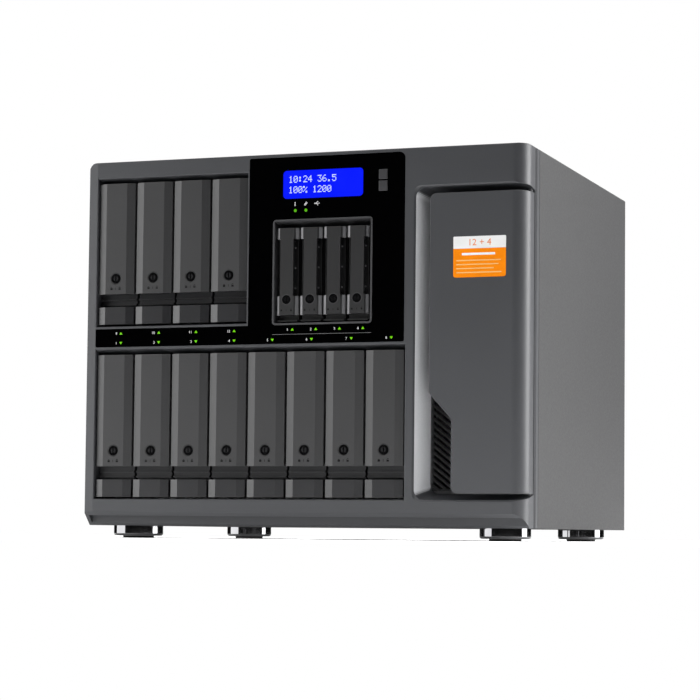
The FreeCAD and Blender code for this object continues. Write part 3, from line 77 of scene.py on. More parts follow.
class Nodes:
    """A small wrapper that makes nodes and links in one material."""

    def __init__(self, name):
        self.mat = bpy.data.materials.new(name)
        self.mat.use_nodes = True
        self.nt = self.mat.node_tree
        self.nt.nodes.clear()
        self.out = self.nt.nodes.new("ShaderNodeOutputMaterial")
        self.bsdf = self.nt.nodes.new("ShaderNodeBsdfPrincipled")
        self.nt.links.new(self.bsdf.outputs["BSDF"], self.out.inputs["Surface"])
        self.where = self.add("ShaderNodeTexCoord").outputs["Object"]

    def add(self, kind, **props):
        n = self.nt.nodes.new(kind)
        for k, v in props.items():
            setattr(n, k, v)
        return n

    def put(self, socket, value):
        if isinstance(value, bpy.types.NodeSocket):
            self.nt.links.new(value, socket)
        else:
            socket.default_value = value

    def shader(self, **values):
        for k, v in values.items():
            self.put(self.bsdf.inputs[k.replace("_", " ")], v)

    def math(self, op, a, b=0.0, c=0.0, clamp=False):
        n = self.add("ShaderNodeMath", operation=op, use_clamp=clamp)
        for s, v in zip(n.inputs, (a, b, c)):
            self.put(s, v)
        return n.outputs[0]

    def noise(self, scale, detail=2.0, rough=0.5, vector=None, stretch=None):
        n = self.add("ShaderNodeTexNoise")
        n.inputs["Scale"].default_value = scale
        n.inputs["Detail"].default_value = detail
        n.inputs["Roughness"].default_value = rough
        src = vector or self.where
        if stretch:
            m = self.add("ShaderNodeMapping")
            m.inputs["Scale"].default_value = stretch
            self.put(m.inputs["Vector"], src)
            src = m.outputs["Vector"]
        self.put(n.inputs["Vector"], src)
        return n.outputs["Fac"]

    def ramp(self, fac, stops, mode="LINEAR"):
        n = self.add("ShaderNodeValToRGB")
        n.color_ramp.interpolation = mode
        el = n.color_ramp.elements
        while len(el) < len(stops):
            el.new(0.5)
        for e, (pos, col) in zip(el, stops):
            e.position = pos
            e.color = col if len(col) == 4 else (*col, 1.0)
        self.put(n.inputs["Fac"], fac)
        return n.outputs["Color"]

    def remap(self, value, a, b, c, d, kind="LINEAR", clamp=True):
        n = self.add("ShaderNodeMapRange", interpolation_type=kind, clamp=clamp)
        for s, v in zip(("From Min", "From Max", "To Min", "To Max"), (a, b, c, d)):
            n.inputs[s].default_value = v
        self.put(n.inputs["Value"], value)
        return n.outputs["Result"]

    def mix(self, fac, a, b, blend="MIX"):
        n = self.add("ShaderNodeMix", data_type="RGBA", blend_type=blend)
        self.put(n.inputs[0], fac)
        self.put(n.inputs[6], a)
        self.put(n.inputs[7], b)
        return n.outputs[2]

    def xyz(self, vector=None):
        n = self.add("ShaderNodeSeparateXYZ")
        self.put(n.inputs[0], vector or self.where)
        return n.outputs[0], n.outputs[1], n.outputs[2]

    def bump(self, height, distance, strength=1.0, normal=None):
        n = self.add("ShaderNodeBump")
        n.inputs["Strength"].default_value = strength
        n.inputs["Distance"].default_value = distance
        self.put(n.inputs["Height"], height)
        if normal is not None:
            self.put(n.inputs["Normal"], normal)
        return n.outputs["Normal"]

    def span(self, value, a, b, soft):
        """1 between a and b, 0 outside, over a soft edge (metres)."""
        up = self.remap(value, a - soft, a + soft, 0, 1, "SMOOTHSTEP")
        down = self.remap(value, b - soft, b + soft, 1, 0, "SMOOTHSTEP")
        return self.math("MULTIPLY", up, down)


def tones(m, base, low, fine, low_scale=9.0, fine_scale=800.0):
    """The base colour with broad and fine variation."""
    broad = m.noise(low_scale, 3.0, 0.55)
    grain = m.noise(fine_scale, 2.0, 0.6)
    a = m.remap(broad, 0.3, 0.7, 1 - low, 1 + low)
    b = m.remap(grain, 0.25, 0.75, 1 - fine, 1 + fine)
    both = m.math("MULTIPLY", a, b)
    n = m.add("ShaderNodeVectorMath", operation="SCALE")
    m.put(n.inputs[0], base if isinstance(base, bpy.types.NodeSocket) else (base[0], base[1], base[2]))
    m.put(n.inputs["Scale"], both)
    return n.outputs["Vector"], broad, grain


def moulded(name, base, rough=(0.40, 0.52), low=0.05, fine=0.06, grain_scale=2400.0, depth=0.00004, spec=0.5, colour=None, fine_scale=900.0):
    """Spark-textured moulded plastic."""
    m = Nodes(name)
    col, broad, grain = tones(m, colour(m) if colour else base, low, fine, fine_scale=fine_scale)
    tex = m.noise(grain_scale, 3.0, 0.65)
    m.shader(Base_Color=col, Roughness=m.remap(m.math("ADD", m.math("MULTIPLY", tex, 0.6), m.math("MULTIPLY", broad, 0.4)), 0.3, 0.7, *rough),
             Normal=m.bump(tex, depth, 0.55))
    m.shader(Specular_IOR_Level=spec)
    return m


# ------------------------------------------------------------------ materials

BEZEL = lin(59, 60, 63)
TRAY = lin(45, 45, 46)

door_lo, door_hi = box("door")
bezel_lo, bezel_hi = box("front_bezel")
intake_lo, intake_hi = box("intake_panel")
RECESS_L = intake_lo.x - 8.4          # mouth of the recess, left
RECESS_BACK = intake_hi.y + 0.1


def bezel_colour_with_painted_light(m):
    """Graphite plastic; the right-facing wall of the recess beside the door gets a painted highlight, a pale colour
    that fades into its corners.
    """
    x, y, z = m.xyz()
    # Painted highlight: the recess wall is painted pale as if brightly lit, only where it faces right.
    wall = m.span(x, (RECESS_L - 0.1) * MM, (RECESS_L + 6.9) * MM, 0.00025)
    deep = m.span(y, (FRONT + 0.35) * MM, (RECESS_BACK + 1.0) * MM, 0.00025)
    tall = m.span(z, (door_lo.z - 3.0) * MM, (door_hi.z + 2.5) * MM, 0.0025)
    painted_light_mask = m.math("MULTIPLY", m.math("MULTIPLY", wall, deep), tall)
    normal = m.add("ShaderNodeNewGeometry").outputs["True Normal"]
    turn = m.add("ShaderNodeVectorTransform", vector_type="NORMAL", convert_from="WORLD", convert_to="OBJECT")
    m.put(turn.inputs[0], normal)
    nx, _, _ = m.xyz(turn.outputs[0])
    painted_light_mask = m.math("MULTIPLY", painted_light_mask, m.remap(nx, 0.75, 0.92, 0, 1))
    return m.mix(painted_light_mask, BEZEL, lin(220, 221, 224))


M = {}
M["bezel"] = moulded("bezel_plastic", BEZEL, rough=(0.42, 0.52), low=0.03, fine=0.05, colour=bezel_colour_with_painted_light).mat
M["door"] = moulded("door_plastic", BEZEL, rough=(0.42, 0.52), low=0.03, fine=0.05).mat
M["surround"] = moulded("surround_plastic", lin(58, 58, 60), rough=(0.40, 0.52), low=0.04, fine=0.05).mat
M["key"] = moulded("key_plastic", lin(54, 54, 56), rough=(0.36, 0.46), low=0.03, fine=0.04).mat
M["grille"] = moulded("grille_plastic", lin(13, 13, 14), rough=(0.42, 0.55), low=0.06, fine=0.06, spec=0.35).mat
M["tray"] = moulded("tray_plastic", lin(32, 32, 34), rough=(0.30, 0.40), low=0.05, fine=0.06).mat


def ssd_tray():
    """Black slide body behind the slim lever, with three pale pips beside it."""
    m = Nodes("ssd_tray_plastic")
    x, y, z = m.xyz()
    c1, c2 = [(box("ssd_lever_%d" % i)[0].x + box("ssd_lever_%d" % i)[1].x) / 2 for i in (1, 2)]
    side = m.math("PINGPONG", m.math("SUBTRACT", x, (c1 + 5.0 - (c2 - c1) * 40) * MM), (c2 - c1) / 2 * MM)
    bottom = box("ssd_lever_1")[0].z
    rise = None
    for row in (21.5, 37.6, 53.6):
        one = m.math("ABSOLUTE", m.math("SUBTRACT", z, (bottom + row) * MM))
        rise = one if rise is None else m.math("MINIMUM", rise, one)
    r = m.math("SQRT", m.math("ADD", m.math("MULTIPLY", side, side), m.math("MULTIPLY", rise, rise)))
    pip = m.math("MULTIPLY", m.remap(r, 0.00066, 0.00072, 1, 0), m.remap(y, -0.1533, -0.1531, 1, 0))
    col, broad, grain = tones(m, lin(9, 9, 10), 0.05, 0.08)
    tex = m.noise(2400.0, 3.0, 0.65)
    m.shader(Base_Color=m.mix(pip, col, lin(96, 96, 98)), Roughness=m.remap(tex, 0.3, 0.7, 0.4, 0.52), Normal=m.bump(tex, 0.00004, 0.5))
    return m.mat


M["ssd_tray"] = ssd_tray()
M["fan"] = moulded("fan_plastic", lin(26, 26, 27), rough=(0.38, 0.5), low=0.06, fine=0.05).mat
M["inlet"] = moulded("inlet_plastic", lin(20, 20, 21), rough=(0.32, 0.44), low=0.04, fine=0.04).mat


def lever_material(name, pitch, first, rows, radius, core, ring, plug_tone, ring_tone, painted_flank_light=None):
    """Lever plastic with black lock cylinders, found from the tray pitch and the lock height; the keyhole slots are
    painted shade, and when flank tones are given the chamfers get painted light.
    """
    m = Nodes(name)
    x, y, z = m.xyz()
    u = m.math("PINGPONG", m.math("SUBTRACT", x, first - pitch * 40), pitch / 2)
    vs = [m.math("ABSOLUTE", m.math("SUBTRACT", z, r)) for r in rows]
    v = vs[0] if len(vs) == 1 else m.math("MINIMUM", vs[0], vs[1])
    r = m.math("SQRT", m.math("ADD", m.math("MULTIPLY", u, u), m.math("MULTIPLY", v, v)))
    lock = m.remap(r, radius - 0.00004, radius + 0.00004, 1, 0)
    plug = m.remap(r, core - 0.0002, core + 0.0002, 1, 0, "SMOOTHSTEP")
    # Painted shade: a near-black keyhole slot drawn on the flat lock face, where a real slot would be dark from its
    # depth.
    keyhole_shade = m.math("MULTIPLY", m.remap(u, 0.0004, 0.0006, 1, 0), m.remap(v, 0.0016, 0.0018, 1, 0))
    rim = m.span(r, ring - 0.00022, ring + 0.00022, 0.00012)
    base = TRAY
    # Painted light on the lever chamfers: the left flank is painted pale as if lit from the left, and the right flank
    # somewhat less.
    if painted_flank_light:
        left, right, dark, painted_light_left, painted_light_right = painted_flank_light
        across = m.math("WRAP", m.math("SUBTRACT", x, first), pitch / 2, -pitch / 2)
        base = m.mix(m.remap(across, -left - 0.0001, -left + 0.0001, 1, 0), dark, painted_light_left)
        base = m.mix(m.remap(across, right - 0.0001, right + 0.0001, 0, 1), base, painted_light_right)
    face, broad, grain = tones(m, base, 0.05, 0.06, fine_scale=900.0)
    face = m.mix(m.math("MULTIPLY", rim, 0.6), face, ring_tone)
    face = m.mix(lock, face, lin(7, 7, 8))
    face = m.mix(plug, face, plug_tone)
    col = m.mix(keyhole_shade, face, lin(6, 6, 7))
    tex = m.noise(2400.0, 3.0, 0.65)
    rough = m.remap(tex, 0.3, 0.7, 0.42, 0.54)
    m.shader(Base_Color=col, Roughness=m.math("SUBTRACT", rough, m.math("MULTIPLY", lock, 0.34)), Normal=m.bump(tex, 0.00004, 0.5))
    return m.mat


lv1, lv2 = box("hdd_lever_1"), box("hdd_lever_2")
up1 = box("hdd_lever_9")
HDD_PITCH = lv2[0].x - lv1[0].x
HDD_X = [(box("hdd_lever_%d" % i)[0].x + box("hdd_lever_%d" % i)[1].x) / 2 for i in range(1, 13)]
HDD_LOCK_Z = [box("hdd_lever_%d" % i)[0].z + 12.6 for i in range(1, 13)]
SSD_X = [(box("ssd_lever_%d" % i)[0].x + box("ssd_lever_%d" % i)[1].x) / 2 for i in range(1, 5)]
SSD_LOCK_Z = [box("ssd_lever_%d" % i)[0].z + 12.1 for i in range(1, 5)]
SSD_FLANK = (box("ssd_lever_1")[1].x - box("ssd_lever_1")[0].x) / 2 - 2.95
M["hdd_lever"] = lever_material("hdd_lever_plastic", HDD_PITCH * MM, HDD_X[0] * MM, (HDD_LOCK_Z[0] * MM, HDD_LOCK_Z[8] * MM), 0.00372, 0.0021, 0.0048, lin(38, 38, 39), lin(24, 24, 25))
# The SSD levers' chamfers get painted light: a pale left flank and a slightly darker right flank.
M["ssd_lever"] = lever_material("ssd_lever_plastic", (SSD_X[1] - SSD_X[0]) * MM, SSD_X[0] * MM, (SSD_LOCK_Z[0] * MM,), 0.00352, 0.0019, 0.0041, lin(24, 24, 25), lin(62, 62, 64),
                                painted_flank_light=(SSD_FLANK * MM, (SSD_FLANK + 1.05) * MM, lin(24, 24, 25), lin(126, 126, 128), lin(98, 98, 100)))


def powder(name, base, low=0.05, fine=0.10, rough=(0.52, 0.66), depth=0.00009):
    """Powder-coated sheet steel: orange peel and a fine speckle."""
    m = Nodes(name)
    col, broad, grain = tones(m, base, low, fine, low_scale=6.0, fine_scale=620.0)
    peel = m.noise(1100.0, 2.0, 0.5)
    fine_tex = m.noise(3200.0, 2.0, 0.6)
    h = m.math("ADD", peel, m.math("MULTIPLY", fine_tex, 0.35))
    m.shader(Base_Color=col, Roughness=m.remap(grain, 0.3, 0.7, *rough), Normal=m.bump(h, depth, 0.6))
    return m.mat


M["cover"] = powder("cover_paint", lin(41, 41, 42))
M["rear"] = powder("rear_paint", lin(62, 62, 64))


def steel(name, base, rough=(0.28, 0.42), stretch=(40.0, 3.0, 3.0), spangle=True):
    """Zinc-plated sheet: faint spangle and rolling lines."""
    m = Nodes(name)
    lines = m.noise(60.0, 3.0, 0.6, stretch=stretch)
    cells = m.add("ShaderNodeTexVoronoi")
    cells.inputs["Scale"].default_value = 160.0
    m.put(cells.inputs["Vector"], m.where)
    tone = m.remap(cells.outputs["Distance"], 0.0, 0.6, 0.92, 1.06)
    col, broad, grain = tones(m, base, 0.05, 0.04)
    n = m.add("ShaderNodeVectorMath", operation="SCALE")
    m.put(n.inputs[0], col)
    m.put(n.inputs["Scale"], tone if spangle else 1.0)
    m.shader(Base_Color=n.outputs["Vector"], Metallic=1.0, Roughness=m.remap(lines, 0.3, 0.7, *rough), Normal=m.bump(lines, 0.00002, 0.4))
    return m.mat


M["plated"] = steel("plated_steel", (0.56, 0.57, 0.58, 1.0))
M["supply"] = steel("supply_steel", (0.44, 0.45, 0.46, 1.0), stretch=(3.0, 3.0, 40.0))
M["screw"] = steel("screw_steel", (0.16, 0.16, 0.17, 1.0), rough=(0.3, 0.4), spangle=False)


def gloss_window():
    m = Nodes("window_gloss")
    smear = m.noise(26.0, 4.0, 0.6)
    dust = m.noise(1500.0, 1.0, 0.5)
    col = m.mix(m.remap(dust, 0.72, 0.8, 0, 1), (0.0003, 0.0003, 0.0004, 1), (0.0016, 0.0016, 0.0018, 1))
    m.shader(Base_Color=col, Roughness=m.remap(smear, 0.3, 0.7, 0.045, 0.085))
    m.shader(Specular_IOR_Level=0.15)
    return m.mat


M["window"] = gloss_window()


def lcd():
    """Backlit blue display with the faint cells of a dot-matrix module."""
    m = Nodes("lcd_face")
    x, y, z = m.xyz()
    lo, hi = box("lcd_module")
    cell = 0.00066
    gx = m.math("PINGPONG", x, cell / 2)
    gz = m.math("PINGPONG", z, cell / 2)
    gap = m.math("MINIMUM", gx, gz)
    line = m.remap(gap, 0.0, 0.00007, 1.0, 0.0)
    glow = m.noise(28.0, 2.0, 0.5)
    col = m.mix(m.remap(glow, 0.3, 0.7, 0, 1), lin(1, 18, 246), lin(4, 25, 253))
    col = m.mix(m.math("MULTIPLY", line, 0.25), col, lin(2, 14, 222))
    m.shader(Base_Color=(0.002, 0.004, 0.02, 1.0), Emission_Color=col, Roughness=m.remap(glow, 0.3, 0.7, 0.2, 0.3))
    m.shader(Emission_Strength=1.06, Specular_IOR_Level=0.15)
    return m.mat


M["lcd"] = lcd()


def glowing(name, colour, strength, soft=0.35):
    """A light pipe or lit ink: a bit uneven, like moulded clear plastic."""
    m = Nodes(name)
    f = m.noise(700.0, 2.0, 0.5)
    dim = tuple(c * (1 - soft) for c in colour[:3]) + (1.0,)
    col = m.mix(m.remap(f, 0.3, 0.7, 0, 1), dim, colour)
    m.shader(Base_Color=tuple(c * 0.25 for c in colour[:3]) + (1.0,), Emission_Color=col, Roughness=m.remap(f, 0.3, 0.7, 0.25, 0.4))
    m.shader(Emission_Strength=strength)
    return m.mat


M["led"] = glowing("light_green", lin(96, 196, 10), 0.7, 0.25)
M["arrow"] = glowing("arrow_green", lin(120, 222, 0), 0.75, 0.15)
M["lcd_text"] = glowing("lcd_text", lin(196, 208, 255), 1.0, 0.1)


def ink(name, colour, rough=(0.35, 0.5), spec=0.5):
    m = Nodes(name)
    m.shader(Specular_IOR_Level=spec)
    f = m.noise(1400.0, 2.0, 0.6)
    col, _, _ = tones(m, colour, 0.04, 0.08, fine_scale=1400.0)
    m.shader(Base_Color=col, Roughness=m.remap(f, 0.3, 0.7, *rough), Normal=m.bump(f, 0.00001, 0.3))
    return m.mat


M["ink_white"] = ink("ink_white", lin(226, 226, 228))
M["ink_dark"] = ink("ink_dark", lin(5, 5, 6), spec=0.08)
M["ink_grey"] = ink("ink_grey", lin(120, 120, 122))


def board_material(name, solder, other, y0, y1, axis=1):
    """Green board between y0 and y1 along one axis, dark or metal connectors beyond it."""
    m = Nodes(name)
    parts = m.xyz()
    pcb = m.span(parts[axis], y0 * MM, y1 * MM, 0.00002)
    broad = m.noise(50.0, 3.0, 0.6)
    tracks = m.add("ShaderNodeTexBrick")
    tracks.inputs["Scale"].default_value = 220.0
    tracks.inputs["Mortar Size"].default_value = 0.012
    m.put(tracks.inputs["Vector"], m.where)
    green = m.mix(m.remap(broad, 0.35, 0.65, 0, 1), solder, tuple(c * 1.35 for c in solder[:3]) + (1.0,))
    green = m.mix(m.math("MULTIPLY", tracks.outputs["Fac"], 0.25), green, tuple(c * 1.9 for c in solder[:3]) + (1.0,))
    col = m.mix(pcb, other, green)
    m.shader(Base_Color=col, Roughness=m.remap(broad, 0.3, 0.7, 0.28, 0.42), Normal=m.bump(tracks.outputs["Fac"], 0.00003, 0.3))
    return m


bp_lo, bp_hi = box("drive_backplanes")
M["backplane"] = board_material("circuit_board", (0.01, 0.07, 0.03, 1), lin(24, 24, 26), bp_hi.y - 1.62, bp_hi.y + 0.1).mat
ctrl_lo, ctrl_hi = box("controller_board")


def controller():
    m = board_material("controller_board", (0.01, 0.07, 0.03, 1), (0.5, 0.5, 0.52, 1), ctrl_lo.z - 0.1, ctrl_lo.z + 1.62, axis=2)
    _, _, z = m.xyz()
    m.shader(Metallic=m.remap(z, (ctrl_lo.z + 1.6) * MM, (ctrl_lo.z + 1.75) * MM, 0, 1))
    return m.mat


M["controller"] = controller()


def chrome():
    m = Nodes("foot_chrome")
    wear = m.noise(420.0, 3.0, 0.6)
    broad = m.noise(60.0, 2.0, 0.5)
    col = m.mix(m.remap(broad, 0.3, 0.7, 0, 1), (0.15, 0.15, 0.155, 1), (0.19, 0.19, 0.195, 1))
    m.shader(Base_Color=col, Metallic=1.0, Roughness=m.remap(wear, 0.35, 0.7, 0.03, 0.05), Normal=m.bump(broad, 0.0000002, 0.2))
    return m.mat


M["chrome"] = chrome()
M["rubber"] = moulded("foot_rubber", lin(24, 24, 24), rough=(0.7, 0.85), low=0.08, fine=0.08, depth=0.00008, spec=0.3).mat

by_node = {
    "front_bezel": "bezel", "door": "door", "display_window": "window", "lcd_module": "lcd", "status_lights": "led",
    "enter_button": "key", "select_button": "key", "power_button": "key", "ssd_bay_surround": "surround", "intake_panel": "grille",
    "lower_bay_cage": "plated", "upper_bay_cage": "plated", "ssd_bay_cage": "plated", "drive_backplanes": "backplane",
    "top_cover": "cover", "base_pan": "cover", "inner_frame": "plated", "rear_panel": "rear", "case_screws": "screw",
    "fan_housings": "fan", "fan_rotor_lower": "fan", "fan_rotor_upper": "fan", "psu_fan_rotor": "fan", "power_supply": "supply",
    "power_inlet": "inlet", "controller_board": "controller", "foot_rings": "chrome", "foot_pads": "rubber",
}
for i in range(1, 13):
    by_node["hdd_tray_%d" % i] = "tray"
    by_node["hdd_lever_%d" % i] = "hdd_lever"
for i in range(1, 5):
    by_node["ssd_tray_%d" % i] = "ssd_tray"
    by_node["ssd_lever_%d" % i] = "ssd_lever"
for name, obj in nodes.items():
    for s in obj.material_slots:
        s.material = M[by_node[name]]

# ------------------------------------------------------------------ added pieces


def finish_piece(name, bm, mat, body, smooth=False):
    bmesh.ops.remove_doubles(bm, verts=bm.verts, dist=1e-7)
    bmesh.ops.recalc_face_normals(bm, faces=bm.faces)
    me = bpy.data.meshes.new(name)
    bm.to_mesh(me)
    bm.free()
    for p in me.polygons:
        p.use_smooth = smooth
    me.materials.append(mat)
    o = bpy.data.objects.new(name, me)
    scene.collection.objects.link(o)
    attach(o, body)
    return o


def slab(bm, pts, y_front, y_back, flip=False):
    """Thin plate with outline pts (x, z) in mm between two y planes."""
    cx = sum(p[0] for p in pts) / len(pts)
    cz = sum(p[1] for p in pts) / len(pts)
    front = [bm.verts.new((x * MM, y_front * MM, z * MM)) for x, z in pts]
    back = [bm.verts.new((x * MM, y_back * MM, z * MM)) for x, z in pts]
    bm.faces.new(front)
    bm.faces.new(list(reversed(back)))
    n = len(pts)
    for i in range(n):
        j = (i + 1) % n
        bm.faces.new((front[j], front[i], back[i], back[j]))
    return cx, cz


def disc(cx, cz, r, n=20, a0=0.0, a1=360.0, closed=True):
    k = n if closed else n + 1
    return [(cx + r * math.cos(math.radians(a0 + (a1 - a0) * i / n)), cz + r * math.sin(math.radians(a0 + (a1 - a0) * i / n))) for i in range(k)]


def round_rect(x0, z0, x1, z1, radii, n=6):
    """radii: bottom left, bottom right, top right, top left."""
    out = []
    for (cx, cz, sx, sz, a), r in zip(((x0, z0, 1, 1, 180), (x1, z0, -1, 1, 270), (x1, z1, -1, -1, 0), (x0, z1, 1, -1, 90)), radii):
        if r <= 0:
            out.append((cx, cz))
            continue
        for i in range(n + 1):
            t = math.radians(a + 90.0 * i / n)
            out.append((cx + sx * r + r * math.cos(t), cz + sz * r + r * math.sin(t)))
    return out


def band(bm, cx, cz, r0, r1, a0, a1, y_front, y_back, n=28):
    """Flat ring sector."""
    outer = disc(cx, cz, r1, n, a0, a1, closed=False)
    inner = disc(cx, cz, r0, n, a0, a1, closed=False)
    for i in range(n):
        slab(bm, [outer[i], outer[i + 1], inner[i + 1], inner[i]], y_front, y_back)


def digits(text, x, z, height, y_front, y_back, bm, align="LEFT", back=False):
    """Plain figures from the built-in face, as real geometry, facing -Y (or +Y)."""
    cu = bpy.data.curves.new("figures", "FONT")
    cu.body = text
    cu.size = height * 1.38 * MM
    cu.align_x = align
    cu.extrude = abs(y_back - y_front) / 2 * MM
    cu.resolution_u = 3
    o = bpy.data.objects.new("figures", cu)
    scene.collection.objects.link(o)
    bpy.context.view_layer.update()
    me = bpy.data.meshes.new_from_object(o.evaluated_get(bpy.context.evaluated_depsgraph_get()))
    turn = Matrix.Rotation(math.radians(90), 4, "X")
    if back:
        turn = Matrix.Rotation(math.radians(180), 4, "Z") @ turn
    me.transform(Matrix.Translation(Vector((x, (y_front + y_back) / 2, z)) * MM) @ turn)
    bm.from_mesh(me)
    bpy.data.objects.remove(o)
    bpy.data.curves.remove(cu)
    bpy.data.meshes.remove(me)


# Marks on the display window: bay numbers, arrows, a rule and three status symbols.
glass_y = box("display_window")[0].y
ink0, ink1 = glass_y - 0.06, glass_y + 0.02
UP_Z, LOW_Z = 164.3, 156.7
up_x = [-154.7, -121.2, -88.7, -55.7]
low_x = [-154.7, -121.2, -88.7, -55.7, -23.0, 10.0, 43.2, 76.2]
ssd_ax = [-6.2, 13.5, 33.3, 52.7]

bm = bmesh.new()
for x in up_x:
    slab(bm, [(x - 1.28, UP_Z - 0.8), (x + 1.28, UP_Z - 0.8), (x + 0.28, UP_Z + 0.95), (x - 0.28, UP_Z + 0.95)], ink0, ink1)
for x in ssd_ax:
    slab(bm, [(x - 1.28, UP_Z - 0.6), (x + 1.28, UP_Z - 0.6), (x + 0.28, UP_Z + 1.15), (x - 0.28, UP_Z + 1.15)], ink0, ink1)
for x in low_x:
    slab(bm, [(x - 0.28, LOW_Z - 0.95), (x + 0.28, LOW_Z - 0.95), (x + 1.28, LOW_Z + 0.8), (x - 1.28, LOW_Z + 0.8)], ink0, ink1)
finish_piece("bay_arrows", bm, M["arrow"], "shelf")

bm = bmesh.new()
for k, x in enumerate(up_x):
    digits("%d" % (9 + k), x - 3.4, UP_Z - 1.0, 2.1, ink0, ink1, bm, "RIGHT")
for k, x in enumerate(low_x):
    digits("%d" % (1 + k), x - 3.4, LOW_Z - 1.05, 2.1, ink0, ink1, bm, "RIGHT")
for k, x in enumerate(ssd_ax):
    digits("%d" % (1 + k), x - 3.4, UP_Z - 0.8, 2.1, ink0, ink1, bm, "RIGHT")
finish_piece("bay_numbers", bm, M["ink_white"], "shelf")

bm = bmesh.new()
slab(bm, [(-23.2, 160.68), (59.5, 160.68), (59.5, 160.92), (-23.2, 160.92)], ink0, ink1)
finish_piece("window_rule", bm, M["ink_grey"], "shelf")

bm = bmesh.new()
# state: a bar with a dot above; link: two rings on a slant; bus: a stem with two arms
slab(bm, round_rect(-5.35, 262.0, -4.65, 264.0, (0.2,) * 4, 3), ink0, ink1)
slab(bm, disc(-5.0, 264.75, 0.42, 12), ink0, ink1)
for cx, cz in ((3.5, 263.0), (4.5, 264.2)):
    band(bm, cx, cz, 0.45, 0.85, 0, 360, ink0, ink1, 16)
slab(bm, [(11.7, 263.35), (15.0, 263.35), (15.0, 263.75), (11.7, 263.75)], ink0, ink1)
slab(bm, [(15.0, 263.0), (15.0, 264.1), (15.9, 263.55)], ink0, ink1)
slab(bm, disc(11.8, 263.55, 0.55, 12), ink0, ink1)
slab(bm, [(12.6, 263.7), (13.0, 263.7), (13.9, 264.9), (13.5, 264.9)], ink0, ink1)
slab(bm, [(12.9, 263.4), (13.3, 263.4), (14.1, 262.3), (13.7, 262.3)], ink0, ink1)
slab(bm, disc(14.0, 264.9, 0.4, 10), ink0, ink1)
slab(bm, [(13.7, 261.95), (14.4, 261.95), (14.4, 262.6), (13.7, 262.6)], ink0, ink1)
finish_piece("status_symbols", bm, M["ink_white"], "shelf")

# Figures of the dot-matrix display: clock, temperature, level and fan speed.
GLYPH = {
    "0": "01110 10001 10011 10101 11001 10001 01110", "1": "00100 01100 00100 00100 00100 00100 01110",
    "2": "01110 10001 00001 00010 00100 01000 11111", "3": "11111 00010 00100 00010 00001 10001 01110",
    "4": "00010 00110 01010 10010 11111 00010 00010", "5": "11111 10000 11110 00001 00001 10001 01110",
    "6": "00110 01000 10000 11110 10001 10001 01110", "7": "11111 00001 00010 00100 01000 01000 01000",
    "8": "01110 10001 10001 01110 10001 10001 01110", "9": "01110 10001 10001 01111 00001 00010 01100",
    ":": "00000 01100 01100 00000 01100 01100 00000", ".": "00000 00000 00000 00000 00000 01100 01100",
    "%": "11000 11001 00010 00100 01000 10011 00011", "-": "00000 00000 00000 11111 00000 00000 00000",
    " ": "00000 00000 00000 00000 00000 00000 00000",
}
lcd_y = box("lcd_module")[0].y
bm = bmesh.new()
DX, DZ = 0.70, 0.77
for row, (text, top) in enumerate((("10:24 36.5", 286.0), ("100% 1200", 277.7))):
    for c, ch in enumerate(text):
        x0 = -10.6 + 4.05 * c
        for r, line in enumerate(GLYPH[ch].split()):
            for k, bit in enumerate(line):
                if bit == "1":
                    xa, za = x0 + k * DX, top - (r + 1) * DZ
                    slab(bm, [(xa, za), (xa + DX * 0.93, za), (xa + DX * 0.93, za + DZ * 0.93), (xa, za + DZ * 0.93)], lcd_y - 0.03, lcd_y + 0.02)
finish_piece("lcd_figures", bm, M["lcd_text"], "shelf")


# Lock and unlock marks under every lock.
def lock_marks(name, cx, cz, body, y, pitch=3.65, s=1.0):
    bm = bmesh.new()
    ya, yb = y - 0.03, y + 0.05
    for side, lift in ((-1, 0.0), (1, 0.35)):
        x = cx + side * pitch
        slab(bm, round_rect(x - 0.75 * s, cz - 0.75 * s, x + 0.75 * s, cz + 0.25 * s, (0.12,) * 4, 2), ya, yb)
        band(bm, x, cz + (0.25 + lift) * s, 0.28 * s, 0.62 * s, 0, 180, ya, yb, 10)
        if lift:
            slab(bm, [(x - 0.58 * s, cz + 0.2 * s), (x - 0.32 * s, cz + 0.2 * s), (x - 0.32 * s, cz + 0.62 * s), (x - 0.58 * s, cz + 0.62 * s)], ya, yb)
    slab(bm, [(cx - 0.14 * s, cz - 0.75 * s), (cx + 0.14 * s, cz - 0.75 * s), (cx + 0.14 * s, cz + 0.75 * s), (cx - 0.14 * s, cz + 0.75 * s)], ya, yb)
    return finish_piece(name, bm, M["ink_dark"], body)


for i in range(12):
    lock_marks("hdd_lock_marks_%d" % (i + 1), HDD_X[i], HDD_LOCK_Z[i] - 8.3, "hdd_lever_%d" % (i + 1), box("hdd_lever_%d" % (i + 1))[0].y, s=1.3)
for i in range(4):
    lock_marks("ssd_lock_marks_%d" % (i + 1), SSD_X[i], SSD_LOCK_Z[i] - 8.45, "ssd_lever_%d" % (i + 1), box("ssd_lever_%d" % (i + 1))[0].y, pitch=4.1, s=0.95)

# Door label: blank two-tone sticker in its shallow seat, with plain figures and rules.
LBL = (126.0, 201.5, 168.3, 233.3)
SPLIT = 223.8


def sticker():
    m = Nodes("door_label")
    x, y, z = m.xyz()
    top = m.remap(z, (SPLIT - 0.03) * MM, (SPLIT + 0.03) * MM, 0, 1)
    fibre = m.noise(1800.0, 2.0, 0.6)
    broad = m.noise(70.0, 2.0, 0.5)
    orange = m.mix(m.remap(broad, 0.3, 0.7, 0, 1), lin(234, 128, 0), lin(240, 133, 0))
    white = m.mix(m.remap(broad, 0.3, 0.7, 0, 1), lin(224, 224, 223), lin(230, 230, 230))
    m.shader(Base_Color=m.mix(top, orange, white), Roughness=m.remap(fibre, 0.3, 0.7, 0.36, 0.48), Normal=m.bump(fibre, 0.00001, 0.3))
    m.shader(Specular_IOR_Level=0.2)
    return m.mat


